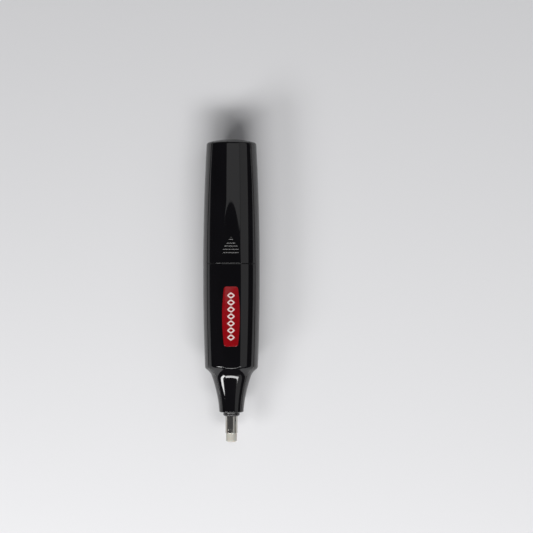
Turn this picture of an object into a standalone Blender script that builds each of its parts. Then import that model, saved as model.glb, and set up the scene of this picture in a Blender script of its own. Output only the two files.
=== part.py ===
"""Battery-operated pen eraser, built as it comes apart on a bench.

A deep rear casing and a shallow front casing hold a small flat-sided motor, a two-cell battery bay and a
push switch. The motor turns a slotted steel chuck that grips a round eraser refill. The battery cover
slides off towards the closed end.

Metres, +Z up. The eraser lies on its flat back: +Y is the closed end, -Y the rubbing tip, +X across.
Every part hangs on one empty, drive_axis, so its coordinates are measured from the motor's axis.
"""

import math

import bmesh
import bpy

# Stations along Y, from the rubbing tip to the closed end.
TIP_Y = -0.0691
CHUCK_Y = -0.0650
BUSH_Y = -0.0572
NOSE_Y = -0.0549
NECK_Y = -0.0376
SHOULDER_Y = -0.0353
SEAM_Y = 0.0123
CROWN_Y = 0.0664
TOP_Y = 0.0691

# The barrel's elliptical section, which narrows away from its widest station, and its two flats.
HALF_WIDTH = 0.01295
WIDEST_Y = 0.0080
HALF_DEPTH = 0.0111
DEEPEST_Y = 0.0050
BARREL_CURVE = 0.45
FLAT = 0.0105
CROWN_EDGE = 0.0012
CROWN_RISE = TOP_Y - CROWN_Y - CROWN_EDGE

# The nose, a slightly hollow cone from the neck to a round rim.
NOSE_R = 0.0054
NECK_HALF_WIDTH = 0.0093
NECK_HALF_DEPTH = 0.0086
NOSE_HOLLOW = 1.35
NOSE_BORE = 0.0039

WALL = 0.0012
PARTING_Z = 0.0060
GAP = 0.0003
FAR = 0.1

# The end flap that the battery cover fills in the rear casing's closed end.
FLAP_X = 0.0082
FLAP_Y = 0.0649
FLAP_Z = 0.0040

# Casing screws, driven from the back through long posts into the front casing's bosses.
SCREW_SPOTS = [(-0.0086, 0.0101), (0.0086, 0.0101), (-0.0080, -0.0310), (0.0080, -0.0310)]
SCREW_R = 0.00085
SCREW_HEAD_R = 0.0015
SCREW_HOLE_R = 0.00105
SCREW_SEAT_Z = -0.0040
SCREW_END_Z = 0.0058
POST_R = 0.00235
BOSS_R = 0.0019
BOSS_Z = 0.0010

# Badge, and the raised arrow on the battery cover: bars as (y, half length) below an arrow head.
BADGE_Y = -0.0115
BADGE_LENGTH = 0.0271
BADGE_WAIST = 0.0080
BADGE_END = 0.0062
ARROW_BARS = [(0.0217, 0.0020), (0.0204, 0.0030), (0.0189, 0.0036), (0.0174, 0.0036)]
ARROW_BAR = 0.0006
ARROW_RISE = 0.0003
ARROW_TIP_Y = 0.0248

# Motor, shaft, chuck and refill.
MOTOR_FRONT_Y = -0.0170
MOTOR_JOINT_Y = 0.0025
MOTOR_REAR_Y = 0.0080
MOTOR_R = 0.01005
MOTOR_FLAT = 0.0077
MOTOR_SKIN = 0.0008
TERMINAL_X = 0.0045
SHAFT_R = 0.0010
SHAFT_FIT = 0.0001
CORE_LOW_Y = -0.0115
CORE_HIGH_Y = -0.0035
CHUCK_R = 0.0028
CHUCK_BORE_R = 0.00252
REFILL_R = 0.00245
REFILL_LENGTH = 0.0260

# Battery bay, for two AAA cells side by side, head to tail.
CELL_R = 0.0051
CAN_R = 0.00485
CELL_X = 0.00515
CELL_Z = -0.0006
CELL_LENGTH = 0.0435
CELL_NUB = 0.0010
BAY_LOW_Y = 0.0146
BAY_HIGH_Y = 0.0637
PLATE = 0.0004
LEFT_BASE_Y = BAY_HIGH_Y - GAP - CELL_NUB - CELL_LENGTH
RIGHT_BASE_Y = BAY_LOW_Y + GAP + CELL_NUB + CELL_LENGTH
TAB_X = 0.0049
SPRING_WIRE_R = 0.00028

# Push switch, in the back of the barrel next to the nose.
BUTTON_Y = -0.0280
BUTTON_LENGTH = 0.0120
BUTTON_WIDTH = 0.0075
LEAF_Y = -0.0210
LEAF_Z = -0.0069
STRIP_Z = -0.0054
STRIP = 0.0002

WIRE_R = 0.00045
WIRE_Z = -0.0085
ROUND = 32
OUTLINE = 36
SIDES = ((-1, "left"), (1, "right"))


# ---------------------------------------------------------------- scene and finishes

for old in list(bpy.data.objects):
    bpy.data.objects.remove(old)

parts = bpy.data.collections.new("pen_eraser")
cutters = bpy.data.collections.new("cutters")
bpy.context.scene.collection.children.link(parts)
bpy.context.scene.collection.children.link(cutters)

drive_axis = bpy.data.objects.new("drive_axis", None)
drive_axis.location = (0, 0, FLAT)
parts.objects.link(drive_axis)


def material(name, colour, roughness, metallic=0.0):
    made = bpy.data.materials.new(name)
    made.use_nodes = True
    shader = made.node_tree.nodes["Principled BSDF"]
    shader.inputs["Base Color"].default_value = (*colour, 1)
    shader.inputs["Roughness"].default_value = roughness
    shader.inputs["Metallic"].default_value = metallic
    return made


BLACK_GLOSS = material("black_gloss", (0.012, 0.012, 0.014), 0.18)
BLACK_SATIN = material("black_satin", (0.02, 0.02, 0.022), 0.45)
BADGE_RED = material("badge_red", (0.42, 0.006, 0.015), 0.3)
STEEL = material("polished_steel", (0.56, 0.55, 0.52), 0.2, 1.0)
NICKEL = material("nickel_strip", (0.66, 0.62, 0.55), 0.3, 1.0)
ZINC = material("zinc_can", (0.55, 0.56, 0.57), 0.35, 1.0)
BRASS = material("brass", (0.62, 0.44, 0.18), 0.3, 1.0)
BRONZE = material("bronze", (0.45, 0.28, 0.14), 0.45, 1.0)
COPPER = material("copper", (0.72, 0.3, 0.14), 0.35, 1.0)
FERRITE = material("ferrite", (0.05, 0.05, 0.055), 0.6)
LAMINATION = material("lamination", (0.28, 0.28, 0.29), 0.5, 1.0)
NATURAL = material("natural_plastic", (0.62, 0.6, 0.54), 0.5)
VINYL = material("white_vinyl", (0.72, 0.7, 0.63), 0.7)
JACKET = material("cell_jacket", (0.03, 0.16, 0.13), 0.35)
RED_COVERING = material("red_covering", (0.5, 0.02, 0.02), 0.45)
BLACK_COVERING = material("black_covering", (0.02, 0.02, 0.02), 0.45)
WHITE_COVERING = material("white_covering", (0.7, 0.7, 0.68), 0.45)


# ---------------------------------------------------------------- shapes


def add(name, mesh, finish=None, location=(0, 0, 0), rotation=(0, 0, 0)):
    """A part with its finish or, with no finish, a hidden cutter or guide."""
    obj = bpy.data.objects.new(name, mesh)
    obj.location = location
    obj.rotation_euler = rotation
    obj.parent = drive_axis
    if finish is None:
        cutters.objects.link(obj)
        obj.hide_render = True
        obj.display_type = "WIRE"
    else:
        parts.objects.link(obj)
        mesh.materials.append(finish)
    return obj


def mesh_from(bm, name):
    bmesh.ops.recalc_face_normals(bm, faces=bm.faces)
    mesh = bpy.data.meshes.new(name)
    bm.to_mesh(mesh)
    bm.free()
    return mesh


def smooth(obj, degrees=35):
    obj.data.shade_smooth()
    obj.data.set_sharp_from_angle(angle=math.radians(degrees))
    return obj


def box(name, low, high, finish=None, origin=None):
    """A box between two corners. Its origin is its centre unless another is given."""
    size = [b - a for a, b in zip(low, high)]
    centre = [(a + b) / 2 for a, b in zip(low, high)]
    origin = origin or centre
    bm = bmesh.new()
    bmesh.ops.create_cube(bm, size=1)
    bmesh.ops.scale(bm, vec=size, verts=bm.verts)
    bmesh.ops.translate(bm, vec=[a - b for a, b in zip(centre, origin)], verts=bm.verts)
    return add(name, mesh_from(bm, name), finish, origin)


def cylinder_mesh(name, radius, length, segments):
    bm = bmesh.new()
    bmesh.ops.create_cone(
        bm, cap_ends=True, segments=segments, radius1=radius, radius2=radius, depth=length
    )
    return mesh_from(bm, name)


def rod(name, radius, start, end, finish=None, x=0, z=0, segments=ROUND):
    """A cylinder along Y between two stations."""
    mesh = cylinder_mesh(name, radius, end - start, segments)
    return smooth(add(name, mesh, finish, (x, (start + end) / 2, z), (-math.pi / 2, 0, 0)))


def post(name, radius, low, high, x, y, finish=None, segments=20):
    """A cylinder along Z between two heights."""
    mesh = cylinder_mesh(name, radius, high - low, segments)
    return smooth(add(name, mesh, finish, (x, y, (low + high) / 2)))


def turned(name, profile, finish, x=0, z=0, steps=ROUND):
    """A solid turned about a line along Y. The profile of (radius, y) runs from +Y down its outer side.

    Where it returns up a bore it closes on itself; where it meets the axis, no face lies on the axis.
    """
    count = len(profile)
    ends = [(i, (i + 1) % count) for i in range(count)]
    edges = [(a, b) for a, b in ends if profile[a][0] > 0 or profile[b][0] > 0]
    mesh = bpy.data.meshes.new(name)
    mesh.from_pydata([(radius, 0, y) for radius, y in profile], edges, [])
    obj = add(name, mesh, finish, (x, 0, z), (-math.pi / 2, 0, 0))
    screw = obj.modifiers.new("turn", "SCREW")
    screw.axis = "Z"
    screw.steps = steps
    screw.render_steps = steps
    screw.use_merge_vertices = True
    screw.merge_threshold = 0.00001
    return obj


def prism(name, outline, axis, low, high, finish=None):
    """A flat outline pushed along an axis: (y, z) points along X, (x, z) along Y, or (x, y) along Z."""
    column = "XYZ".index(axis)
    bm = bmesh.new()
    corners = []
    for point in outline:
        spot = list(point)
        spot.insert(column, low)
        corners.append(bm.verts.new(spot))
    pushed = bmesh.ops.extrude_face_region(bm, geom=[bm.faces.new(corners)])
    moved = [v for v in pushed["geom"] if isinstance(v, bmesh.types.BMVert)]
    push = [0, 0, 0]
    push[column] = high - low
    bmesh.ops.translate(bm, vec=push, verts=moved)
    return add(name, mesh_from(bm, name), finish)


def loft(name, stations, finish=None):
    """An elliptical body along Y through stations of (y, half width, half depth)."""
    angles = [2 * math.pi * (i + 0.5) / OUTLINE for i in range(OUTLINE)]
    bm = bmesh.new()
    rings = [
        [bm.verts.new((width * math.cos(a), y, depth * math.sin(a))) for a in angles]
        for y, width, depth in stations
    ]
    for near, far in zip(rings, rings[1:]):
        for i in range(OUTLINE):
            j = (i + 1) % OUTLINE
            bm.faces.new((near[i], near[j], far[j], far[i]))
    bm.faces.new(rings[0])
    bm.faces.new(rings[-1])
    return add(name, mesh_from(bm, name), finish)


def wire(name, points, radius, finish, resolution=2):
    curve = bpy.data.curves.new(name, "CURVE")
    curve.dimensions = "3D"
    curve.bevel_depth = radius
    curve.bevel_resolution = resolution
    curve.use_fill_caps = True
    spline = curve.splines.new("POLY")
    spline.points.add(len(points) - 1)
    for spot, point in zip(spline.points, points):
        spot.co = (*point, 1)
    curve.materials.append(finish)
    obj = bpy.data.objects.new(name, curve)
    obj.parent = drive_axis
    parts.objects.link(obj)


def smooth_route(knots, per_span=3):
    """Points on a Catmull-Rom curve through the knots."""
    padded = [knots[0], *knots, knots[-1]]
    route = []
    for a, b, c, d in zip(padded, padded[1:], padded[2:], padded[3:]):
        for i in range(per_span):
            t = i / per_span
            weights = (
                (-t + 2 * t * t - t**3) / 2,
                (2 - 5 * t * t + 3 * t**3) / 2,
                (t + 4 * t * t - 3 * t**3) / 2,
                (-t * t + t**3) / 2,
            )
            route.append([sum(w * p[k] for w, p in zip(weights, (a, b, c, d))) for k in range(3)])
    return [*route, list(knots[-1])]


def boolean(obj, operation, others):
    for other in others:
        step = obj.modifiers.new(other.name, "BOOLEAN")
        step.operation = operation
        step.object = other
    return obj


def cut(obj, *others):
    return boolean(obj, "DIFFERENCE", others)


def join(obj, *others):
    return boolean(obj, "UNION", others)


def keep(obj, *others):
    return boolean(obj, "INTERSECT", others)


def turn_about_drive(obj, angle):
    """Turns a part, made at the top of the drive axis, about that axis."""
    x, y, z = obj.location
    obj.location = (x * math.cos(angle) + z * math.sin(angle), y, z * math.cos(angle) - x * math.sin(angle))
    obj.rotation_euler = (0, angle, 0)
    return obj


def stadium(length, width, y):
    """The (x, y) outline of a slot with round ends, its length along Y."""
    radius = width / 2
    outline = []
    for end in (1, -1):
        centre = y + end * (length / 2 - radius)
        turns = [math.pi * i / 8 for i in range(9)]
        outline += [(end * radius * math.cos(a), centre + end * radius * math.sin(a)) for a in turns]
    return outline


def barrel_outline(length, waist, end, y, corner=0.0012):
    """The (x, y) outline of a plate with bowed sides, square ends and rounded corners."""
    reach = length / 2 - corner

    def side(along):
        return waist / 2 - (waist - end) / 2 * (along / reach) ** 2

    right = [(side(reach * i / 5), reach * i / 5) for i in range(-5, 5)]
    for i in range(5):
        angle = math.pi / 2 * i / 4
        right.append((side(reach) - corner + corner * math.cos(angle), reach + corner * math.sin(angle)))
    quarter = [(side(reach) - corner + corner * math.cos(a), -reach + corner * math.sin(a))
               for a in (-math.pi / 2, -math.pi * 3 / 8, -math.pi / 4, -math.pi / 8)]
    right = [*quarter, *right]
    left = [(-a, b) for a, b in reversed(right)]
    return [(a, y + b) for a, b in [*right, *left]]


# ---------------------------------------------------------------- the barrel's form


def barrel_half_width(y):
    return HALF_WIDTH - BARREL_CURVE * (y - WIDEST_Y) ** 2


def barrel_half_depth(y):
    """The depth narrows only towards the closed end, so the flats run out in a pointed arch there."""
    return HALF_DEPTH - BARREL_CURVE * max(0, y - DEEPEST_Y) ** 2


def barrel_stations(low, high, count=7):
    spots = [low + (high - low) * i / count for i in range(count + 1)]
    return [(y, barrel_half_width(y), barrel_half_depth(y)) for y in spots]


def nose_stations(count=6):
    """From the nose's rim back to the neck."""
    stations = []
    for i in range(count + 1):
        share = (i / count) ** NOSE_HOLLOW
        width = NOSE_R + (NECK_HALF_WIDTH - NOSE_R) * share
        depth = NOSE_R + (NECK_HALF_DEPTH - NOSE_R) * share
        stations.append((NOSE_Y + (NECK_Y - NOSE_Y) * i / count, width, depth))
    return stations


def crown_stations(y, rise):
    """The closed end: a small round edge, then a shallow dome."""
    width = barrel_half_width(y)
    depth = barrel_half_depth(y)
    stations = []
    for angle in (math.pi / 6, math.pi / 3, math.pi / 2):
        back = CROWN_EDGE * (1 - math.cos(angle))
        stations.append((y + CROWN_EDGE * math.sin(angle), width - back, depth - back))
    for share in (0.75, 0.5, 0.25):
        spot = y + CROWN_EDGE + rise * (1 - share * share)
        stations.append((spot, (width - CROWN_EDGE) * share, (depth - CROWN_EDGE) * share))
    return stations


def inset(stations, distance):
    """The same stations, smaller all round. A short ring near the axis keeps a little size."""
    least = 0.0010
    return [(y, max(width - distance, least), max(depth - distance, least)) for y, width, depth in stations]


OUTER = [
    (NOSE_Y - 0.0005, NOSE_R - 0.0005, NOSE_R - 0.0005),
    *nose_stations(),
    (SHOULDER_Y, 0.0115, 0.0104),
    (SHOULDER_Y + 0.0006, 0.0120, 0.0108),
    *barrel_stations(SHOULDER_Y + 0.0015, CROWN_Y),
    *crown_stations(CROWN_Y, CROWN_RISE),
]
INNER = [
    (BUSH_Y - 0.0020, NOSE_BORE, NOSE_BORE),
    (NOSE_Y + 0.0045, NOSE_BORE, NOSE_BORE),
    *inset(nose_stations()[3:], WALL),
    (SHOULDER_Y + 0.0006, 0.0102, 0.0093),
    (SHOULDER_Y + 0.0012, 0.0107, 0.0097),
    *inset(barrel_stations(SHOULDER_Y + 0.0022, CROWN_Y - 0.0008), WALL),
    *inset(crown_stations(CROWN_Y - 0.0008, CROWN_RISE - 0.0002), WALL),
]


def parting_outline(offset):
    """The (y, z) outline of all that lies in front of the parting line.

    The line is level along the barrel, then falls with the nose.
    """
    line = [
        (FAR, PARTING_Z),
        (SHOULDER_Y + 0.0010, PARTING_Z),
        (NECK_Y, 0.0052),
        (-0.0440, 0.0044),
        (-0.0500, 0.0036),
        (NOSE_Y, 0.0028),
        (-FAR, 0.0028),
    ]
    return [*[(y, z + offset) for y, z in line], (-FAR, FAR), (FAR, FAR)]


front_flat = box("front_flat_cutter", (-FAR, -FAR, FLAT), (FAR, FAR, FAR))
back_flat = box("back_flat_cutter", (-FAR, -FAR, -FAR), (FAR, FAR, -FLAT))
inner_front = box("inner_front_cutter", (-FAR, -FAR, FLAT - WALL), (FAR, FAR, FAR))
inner_back = box("inner_back_cutter", (-FAR, -FAR, -FAR), (FAR, FAR, WALL - FLAT))
hollow = cut(loft("hollow_cutter", INNER), inner_front, inner_back)
skin = loft("skin_guide", inset(OUTER, 0.0002))


def casing(name):
    """The whole hollow barrel, ready to be cut along its parting lines."""
    return cut(loft(name, OUTER, BLACK_GLOSS), front_flat, back_flat, hollow)


# ---------------------------------------------------------------- casing


def rear_casing():
    """The deep part: back, sides and closed end, with ledges, screw posts, ribs and the button's slot."""
    shell = casing("rear_casing")
    cut(shell, prism("rear_parting_cutter", parting_outline(-GAP / 2), "X", -FAR, FAR))
    cut(shell, box("flap_notch_cutter", (-FLAP_X, FLAP_Y, FLAP_Z), (FLAP_X, FAR, FAR)))
    for side, label in SIDES:
        near, far = sorted((side * 0.00735, side * 0.0130))
        low = (near, SEAM_Y + 0.0012, 0.0053)
        join(shell, keep(box(f"{label}_ledge_guide", low, (far, 0.0645, PARTING_Z - GAP / 2)), skin))
    for number, (x, y) in enumerate(SCREW_SPOTS):
        join(shell, keep(post(f"post_{number}_guide", POST_R, -FLAT, BOSS_Z, x, y), skin))
    for number, y in enumerate((-0.0120, 0.0010)):
        low = (-0.0015, y - 0.0006, -0.0098)
        join(shell, box(f"rear_rib_{number}_guide", low, (0.0050, y + 0.0006, -0.0079)))
    for number, (x, y) in enumerate(SCREW_SPOTS):
        cut(shell, post(f"head_{number}_cutter", SCREW_HEAD_R + 0.00025, -0.0120, SCREW_SEAT_Z, x, y))
        cut(shell, post(f"clearance_{number}_cutter", SCREW_HOLE_R, -0.0120, 0.0065, x, y))
    slot = stadium(BUTTON_LENGTH + 0.0007, BUTTON_WIDTH + 0.0007, BUTTON_Y)
    cut(shell, prism("button_slot_cutter", slot, "Z", -0.0120, -0.0085))
    smooth(shell)


def front_casing():
    """The shallow part over the motor and nose, with screw bosses, motor ribs and the badge's seat."""
    shell = casing("front_casing")
    keep(shell, prism("front_parting_guide", parting_outline(GAP / 2), "X", -FAR, FAR))
    keep(shell, box("front_region_guide", (-FAR, -FAR, -FAR), (FAR, SEAM_Y - GAP / 2, FAR)))
    clear_of_rear = loft("clear_of_rear_guide", inset(INNER, GAP))
    for number, (x, y) in enumerate(SCREW_SPOTS):
        top = post(f"boss_top_{number}_guide", BOSS_R, PARTING_Z + GAP / 2, 0.0100, x, y)
        stem = post(f"boss_stem_{number}_guide", BOSS_R - 0.0001, BOSS_Z + GAP, PARTING_Z + 0.0005, x, y)
        join(shell, keep(top, skin), keep(stem, clear_of_rear))
    for number, y in enumerate((-0.0120, 0.0010)):
        low = (-0.0050, y - 0.0006, 0.0080)
        join(shell, box(f"front_rib_{number}_guide", low, (0.0050, y + 0.0006, 0.0098)))
    for number, (x, y) in enumerate(SCREW_SPOTS):
        cut(shell, post(f"pilot_{number}_cutter", SCREW_HOLE_R, 0, SCREW_END_Z + 0.0003, x, y))
    seat = barrel_outline(BADGE_LENGTH + 0.0002, BADGE_WAIST + 0.0002, BADGE_END + 0.0002, BADGE_Y)
    cut(shell, prism("badge_seat_cutter", seat, "Z", FLAT - 0.0005, FLAT + 0.0010))
    smooth(shell)


def battery_cover():
    """The sliding cover: runners under the rear casing's ledges, a tongue under the front casing."""
    ahead = prism("cover_parting_guide", parting_outline(GAP / 2), "X", -FAR, FAR)
    keep(ahead, box("cover_region_guide", (-FAR, SEAM_Y + GAP / 2, -FAR), (FAR, FAR, FAR)))
    flap_x = FLAP_X - GAP / 2
    low = (-flap_x, FLAP_Y + GAP, FLAP_Z + GAP / 2)
    join(ahead, box("flap_guide", low, (flap_x, FAR, PARTING_Z + 0.0010)))
    shell = keep(casing("battery_cover"), ahead)
    web_in, web_out, toe_out = 0.0066, 0.00705, 0.0079
    toe_low, toe_high, top = 0.00445, 0.0050, 0.0100
    for side, label in SIDES:
        runner = [(web_in, toe_low), (toe_out, toe_low), (toe_out, toe_high)]
        runner += [(web_out, toe_high), (web_out, top), (web_in, top)]
        outline = [(side * x, z) for x, z in runner]
        join(shell, keep(prism(f"{label}_runner_guide", outline, "Y", 0.0165, 0.0590), skin))
    tongue_x, tongue_end = 0.0045, SEAM_Y + 0.0030
    join(shell, box("tongue_guide", (-tongue_x, SEAM_Y - 0.0060, 0.0080), (tongue_x, tongue_end, 0.0089)))
    join(shell, box("tongue_web_guide", (-tongue_x, SEAM_Y + 0.0008, 0.0085), (tongue_x, tongue_end, 0.0098)))
    base = FLAT - 0.0006
    crest = FLAT + ARROW_RISE
    for number, (y, half) in enumerate(ARROW_BARS):
        low = (-half, y - ARROW_BAR / 2, base)
        join(shell, box(f"arrow_bar_{number}_guide", low, (half, y + ARROW_BAR / 2, crest)))
    head = [(-0.0010, ARROW_TIP_Y - 0.0018), (0.0010, ARROW_TIP_Y - 0.0018), (0, ARROW_TIP_Y)]
    join(shell, prism("arrow_head_guide", head, "Z", base, crest))
    smooth(shell)


def casing_trim():
    """The badge plate in its seat, and the bush that lines the nose, held by its flange inside."""
    outline = barrel_outline(BADGE_LENGTH, BADGE_WAIST, BADGE_END, BADGE_Y)
    smooth(prism("badge_plate", outline, "Z", FLAT - 0.0004, FLAT + 0.00005, BADGE_RED))
    sleeve_r = NOSE_BORE - 0.00015
    flange_low = NOSE_Y + 0.0062
    flange_high = flange_low + 0.0008
    flange_r = NOSE_BORE + 0.0005
    bush = [
        (flange_r, flange_high),
        (flange_r, flange_low),
        (sleeve_r, flange_low),
        (sleeve_r, BUSH_Y + 0.0004),
        (sleeve_r - 0.0003, BUSH_Y),
        (CHUCK_R + 0.0001, BUSH_Y),
        (CHUCK_R + 0.0001, flange_high),
    ]
    turned("nose_bush", bush, BLACK_SATIN)


def casing_screws():
    """Four cross-headed screws, their heads down in the rear casing's posts."""
    head_z = SCREW_SEAT_Z - 0.0016
    for number, (x, y) in enumerate(SCREW_SPOTS, 1):
        screw = post(f"case_screw_{number}", SCREW_R, SCREW_SEAT_Z - 0.0007, SCREW_END_Z, x, y, STEEL, 16)
        join(screw, post(f"screw_head_{number}_guide", SCREW_HEAD_R, head_z, SCREW_SEAT_Z - 0.0002, x, y))
        for label, across, along in (("x", 0.0010, 0.0002), ("y", 0.0002, 0.0010)):
            low = (x - across, y - along, head_z - 0.0004)
            cut(screw, box(f"recess_{label}_{number}_cutter", low, (x + across, y + along, head_z + 0.0006)))


# ---------------------------------------------------------------- battery bay


def battery_cradle():
    """The tray under the two cells, with an end wall for each pair of contacts."""
    wall_low, wall_high = BAY_LOW_Y - 0.0005, BAY_HIGH_Y + 0.0006
    tray = box("battery_cradle", (-0.0125, 0.0129, -0.0090), (0.0125, 0.0654, CELL_Z + 0.0008), BLACK_SATIN)
    for label, low, high in (("low", 0.0129, wall_low), ("high", wall_high, 0.0654)):
        join(tray, box(f"{label}_wall_guide", (-0.0112, low, -0.0060), (0.0112, high, 0.0037)))
    keep(tray, loft("cradle_fit_guide", inset(INNER, 0.0002)))
    for side, label in SIDES:
        x = side * CELL_X
        cut(tray, rod(f"{label}_trough_cutter", CELL_R + 0.0002, wall_low, wall_high, x=x, z=CELL_Z))
        low = (side * TAB_X - 0.0011, 0.0120, -0.0006)
        cut(tray, box(f"{label}_tab_cutter", low, (side * TAB_X + 0.0011, 0.0150, 0.0002)))
    for label, reach, low, high in (
        ("low", 0.0084, wall_low, BAY_LOW_Y + 0.0001),
        ("high", 0.0088, BAY_HIGH_Y - 0.0001, wall_high),
    ):
        cut(tray, box(f"{label}_plate_cutter", (-reach, low, -0.0048), (reach, high, 0.0060)))
    smooth(tray)


def contacts():
    """Nickel plates on the end walls. The lower two have a tab through the wall for a wire."""
    for side, label in ((-1, "negative"), (1, "positive")):
        centre = side * CELL_X
        low = (centre - 0.0030, BAY_LOW_Y - PLATE, -0.0045)
        plate = box(f"{label}_contact", low, (centre + 0.0030, BAY_LOW_Y, 0.0034), NICKEL)
        low = (side * TAB_X - 0.0009, 0.0114, -PLATE)
        join(plate, box(f"{label}_tab_guide", low, (side * TAB_X + 0.0009, BAY_LOW_Y - PLATE / 2, 0)))
    low = (-0.0085, BAY_HIGH_Y, -0.0045)
    box("bridge_contact", low, (0.0085, BAY_HIGH_Y + PLATE, 0.0034), NICKEL)


def cell(label, x, base_y, direction):
    """One AAA cell, its base at base_y and its nub towards +Y or -Y: a zinc can in a printed jacket."""
    edge = 0.0004
    shape = [
        (0, CELL_LENGTH + CELL_NUB),
        (0.0018, CELL_LENGTH + CELL_NUB),
        (0.0019, CELL_LENGTH + CELL_NUB - 0.0002),
        (0.0019, CELL_LENGTH),
        (CAN_R - edge, CELL_LENGTH),
        (CAN_R, CELL_LENGTH - edge),
        (CAN_R, edge),
        (CAN_R - edge, 0),
        (0, 0),
    ]
    bore = CAN_R + 0.00008
    sleeve = [(CELL_R, CELL_LENGTH - 0.0006), (CELL_R, 0.0006), (bore, 0.0006), (bore, CELL_LENGTH - 0.0006)]
    for piece, outline, finish in (("can", shape, ZINC), ("jacket", sleeve, JACKET)):
        placed = [(radius, base_y + direction * along) for radius, along in outline]
        turned(f"{label}_cell_{piece}", placed[::direction], finish, x, CELL_Z, 24)


def conical_spring(name, x, plate_y, cell_y):
    """A battery spring, wide at its plate and narrow at the cell's base."""
    turns, per_turn, wide_r, narrow_r = 3.5, 12, 0.0035, 0.0019
    count = int(turns * per_turn)
    points = []
    for i in range(count + 1):
        share = i / count
        radius = wide_r + (narrow_r - wide_r) * share
        angle = 2 * math.pi * turns * share
        y = plate_y + (cell_y - plate_y) * share
        points.append((x + radius * math.cos(angle), y, CELL_Z + radius * math.sin(angle)))
    wire(name, points, SPRING_WIRE_R, NICKEL, 1)


# ---------------------------------------------------------------- motor


def flat_sided(name, radius, flat, start, end, finish=None):
    """A round body along Y with a flat above and below."""
    body = rod(name, radius, start, end, finish)
    return keep(body, box(f"{name}_flats_guide", (-FAR, start - 0.001, -flat), (FAR, end + 0.001, flat)))


def motor_can():
    inner_r, inner_flat = MOTOR_R - MOTOR_SKIN, MOTOR_FLAT - MOTOR_SKIN
    nose_y = MOTOR_FRONT_Y - 0.0017
    can = flat_sided("motor_can", MOTOR_R, MOTOR_FLAT, MOTOR_FRONT_Y, MOTOR_JOINT_Y, ZINC)
    join(can, rod("can_boss_guide", 0.0031, nose_y, MOTOR_FRONT_Y + 0.0005))
    floor_y = MOTOR_FRONT_Y + MOTOR_SKIN
    cut(can, flat_sided("can_hollow_cutter", inner_r, inner_flat, floor_y, MOTOR_JOINT_Y + 0.001))
    cut(can, rod("can_seat_cutter", 0.0025, nose_y + 0.0005, floor_y + 0.001))
    cut(can, rod("can_hole_cutter", SHAFT_R + 0.0004, nose_y - 0.001, floor_y + 0.001))


def motor_end_cap():
    """The plastic cap that carries the rear bearing, the terminals and the brushes."""
    inner_r, inner_flat = MOTOR_R - MOTOR_SKIN, MOTOR_FLAT - MOTOR_SKIN
    start, face_y = MOTOR_JOINT_Y + GAP, MOTOR_REAR_Y - 0.0008
    cap = flat_sided("motor_end_cap", MOTOR_R, MOTOR_FLAT, start, face_y, NATURAL)
    join(cap, rod("cap_boss_guide", 0.0030, face_y - 0.0004, MOTOR_REAR_Y))
    cut(cap, flat_sided("cap_hollow_cutter", inner_r, inner_flat, start - 0.001, face_y - 0.0014))
    cut(cap, rod("cap_seat_cutter", 0.0022, start, MOTOR_REAR_Y - 0.0004))
    cut(cap, rod("cap_hole_cutter", SHAFT_R + 0.0003, start, MOTOR_REAR_Y + 0.001))
    for side, label in SIDES:
        low = (side * TERMINAL_X - 0.0015, start, -0.0006)
        high = (side * TERMINAL_X + 0.0015, MOTOR_REAR_Y + 0.001, 0.0006)
        cut(cap, box(f"{label}_terminal_cutter", low, high))


def motor_magnets():
    """Two ferrite arcs, held against the can's round sides."""
    start, end = MOTOR_FRONT_Y + 0.0030, MOTOR_JOINT_Y - 0.0020
    for side, label in SIDES:
        magnet = rod(f"{label}_magnet", MOTOR_R - MOTOR_SKIN - 0.0002, start, end, FERRITE)
        near, far = sorted((side * 0.0034, side * MOTOR_R))
        cut(magnet, rod(f"{label}_magnet_cutter", 0.0067, start - 0.001, end + 0.001))
        low = (near, start - 0.001, -0.0064)
        keep(magnet, box(f"{label}_magnet_guide", low, (far, end + 0.001, 0.0064)))


def motor_bearings():
    """Sintered bushes in the can's boss and in the end cap."""
    bore = SHAFT_R + SHAFT_FIT
    for label, radius, low, high in (
        ("front", 0.0024, MOTOR_FRONT_Y - 0.0011, MOTOR_FRONT_Y + 0.0013),
        ("rear", 0.0021, MOTOR_REAR_Y - 0.0025, MOTOR_REAR_Y - 0.0005),
    ):
        sleeve = [(radius, high), (radius, low), (bore, low), (bore, high)]
        turned(f"{label}_bearing", sleeve, BRONZE, steps=24)


def motor_brushes():
    """Terminal tabs through the end cap, and the spring strips that press on the commutator."""
    strip = [(0.0060, 0.0046), (0.0034, 0.0046), (0.0021, 0.0030)]
    strip += [(0.0024, 0.0029), (0.0036, 0.0044), (0.0060, 0.0044)]
    for side, label in SIDES:
        low = (side * TERMINAL_X - 0.0013, MOTOR_REAR_Y - 0.0030, -0.0003)
        high = (side * TERMINAL_X + 0.0013, MOTOR_REAR_Y + 0.0022, 0.0003)
        box(f"{label}_terminal", low, high, BRASS)
        outline = [(side * x, y) for x, y in strip]
        prism(f"{label}_brush", outline, "Z", -0.0009, 0.0009, COPPER)


def pole_outline():
    """A three-pole lamination, a neck and a curved shoe for each pole, as (x, z) points."""
    hub_r, neck, shoe_in, shoe_out, reach = 0.0022, 0.0010, 0.0053, 0.0062, 48
    outline = []
    for pole in range(3):
        middle = math.radians(90 + 120 * pole)
        half = [(hub_r, math.asin(neck / hub_r)), (shoe_in, math.asin(neck / shoe_in))]
        half.append((shoe_in, math.radians(reach)))
        face = [(shoe_out, math.radians(reach * (i / 4 - 1))) for i in range(9)]
        spots = [*[(r, -a) for r, a in half], *face, *reversed(half)]
        outline += [(r * math.cos(middle + a), r * math.sin(middle + a)) for r, a in spots]
    return outline


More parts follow.
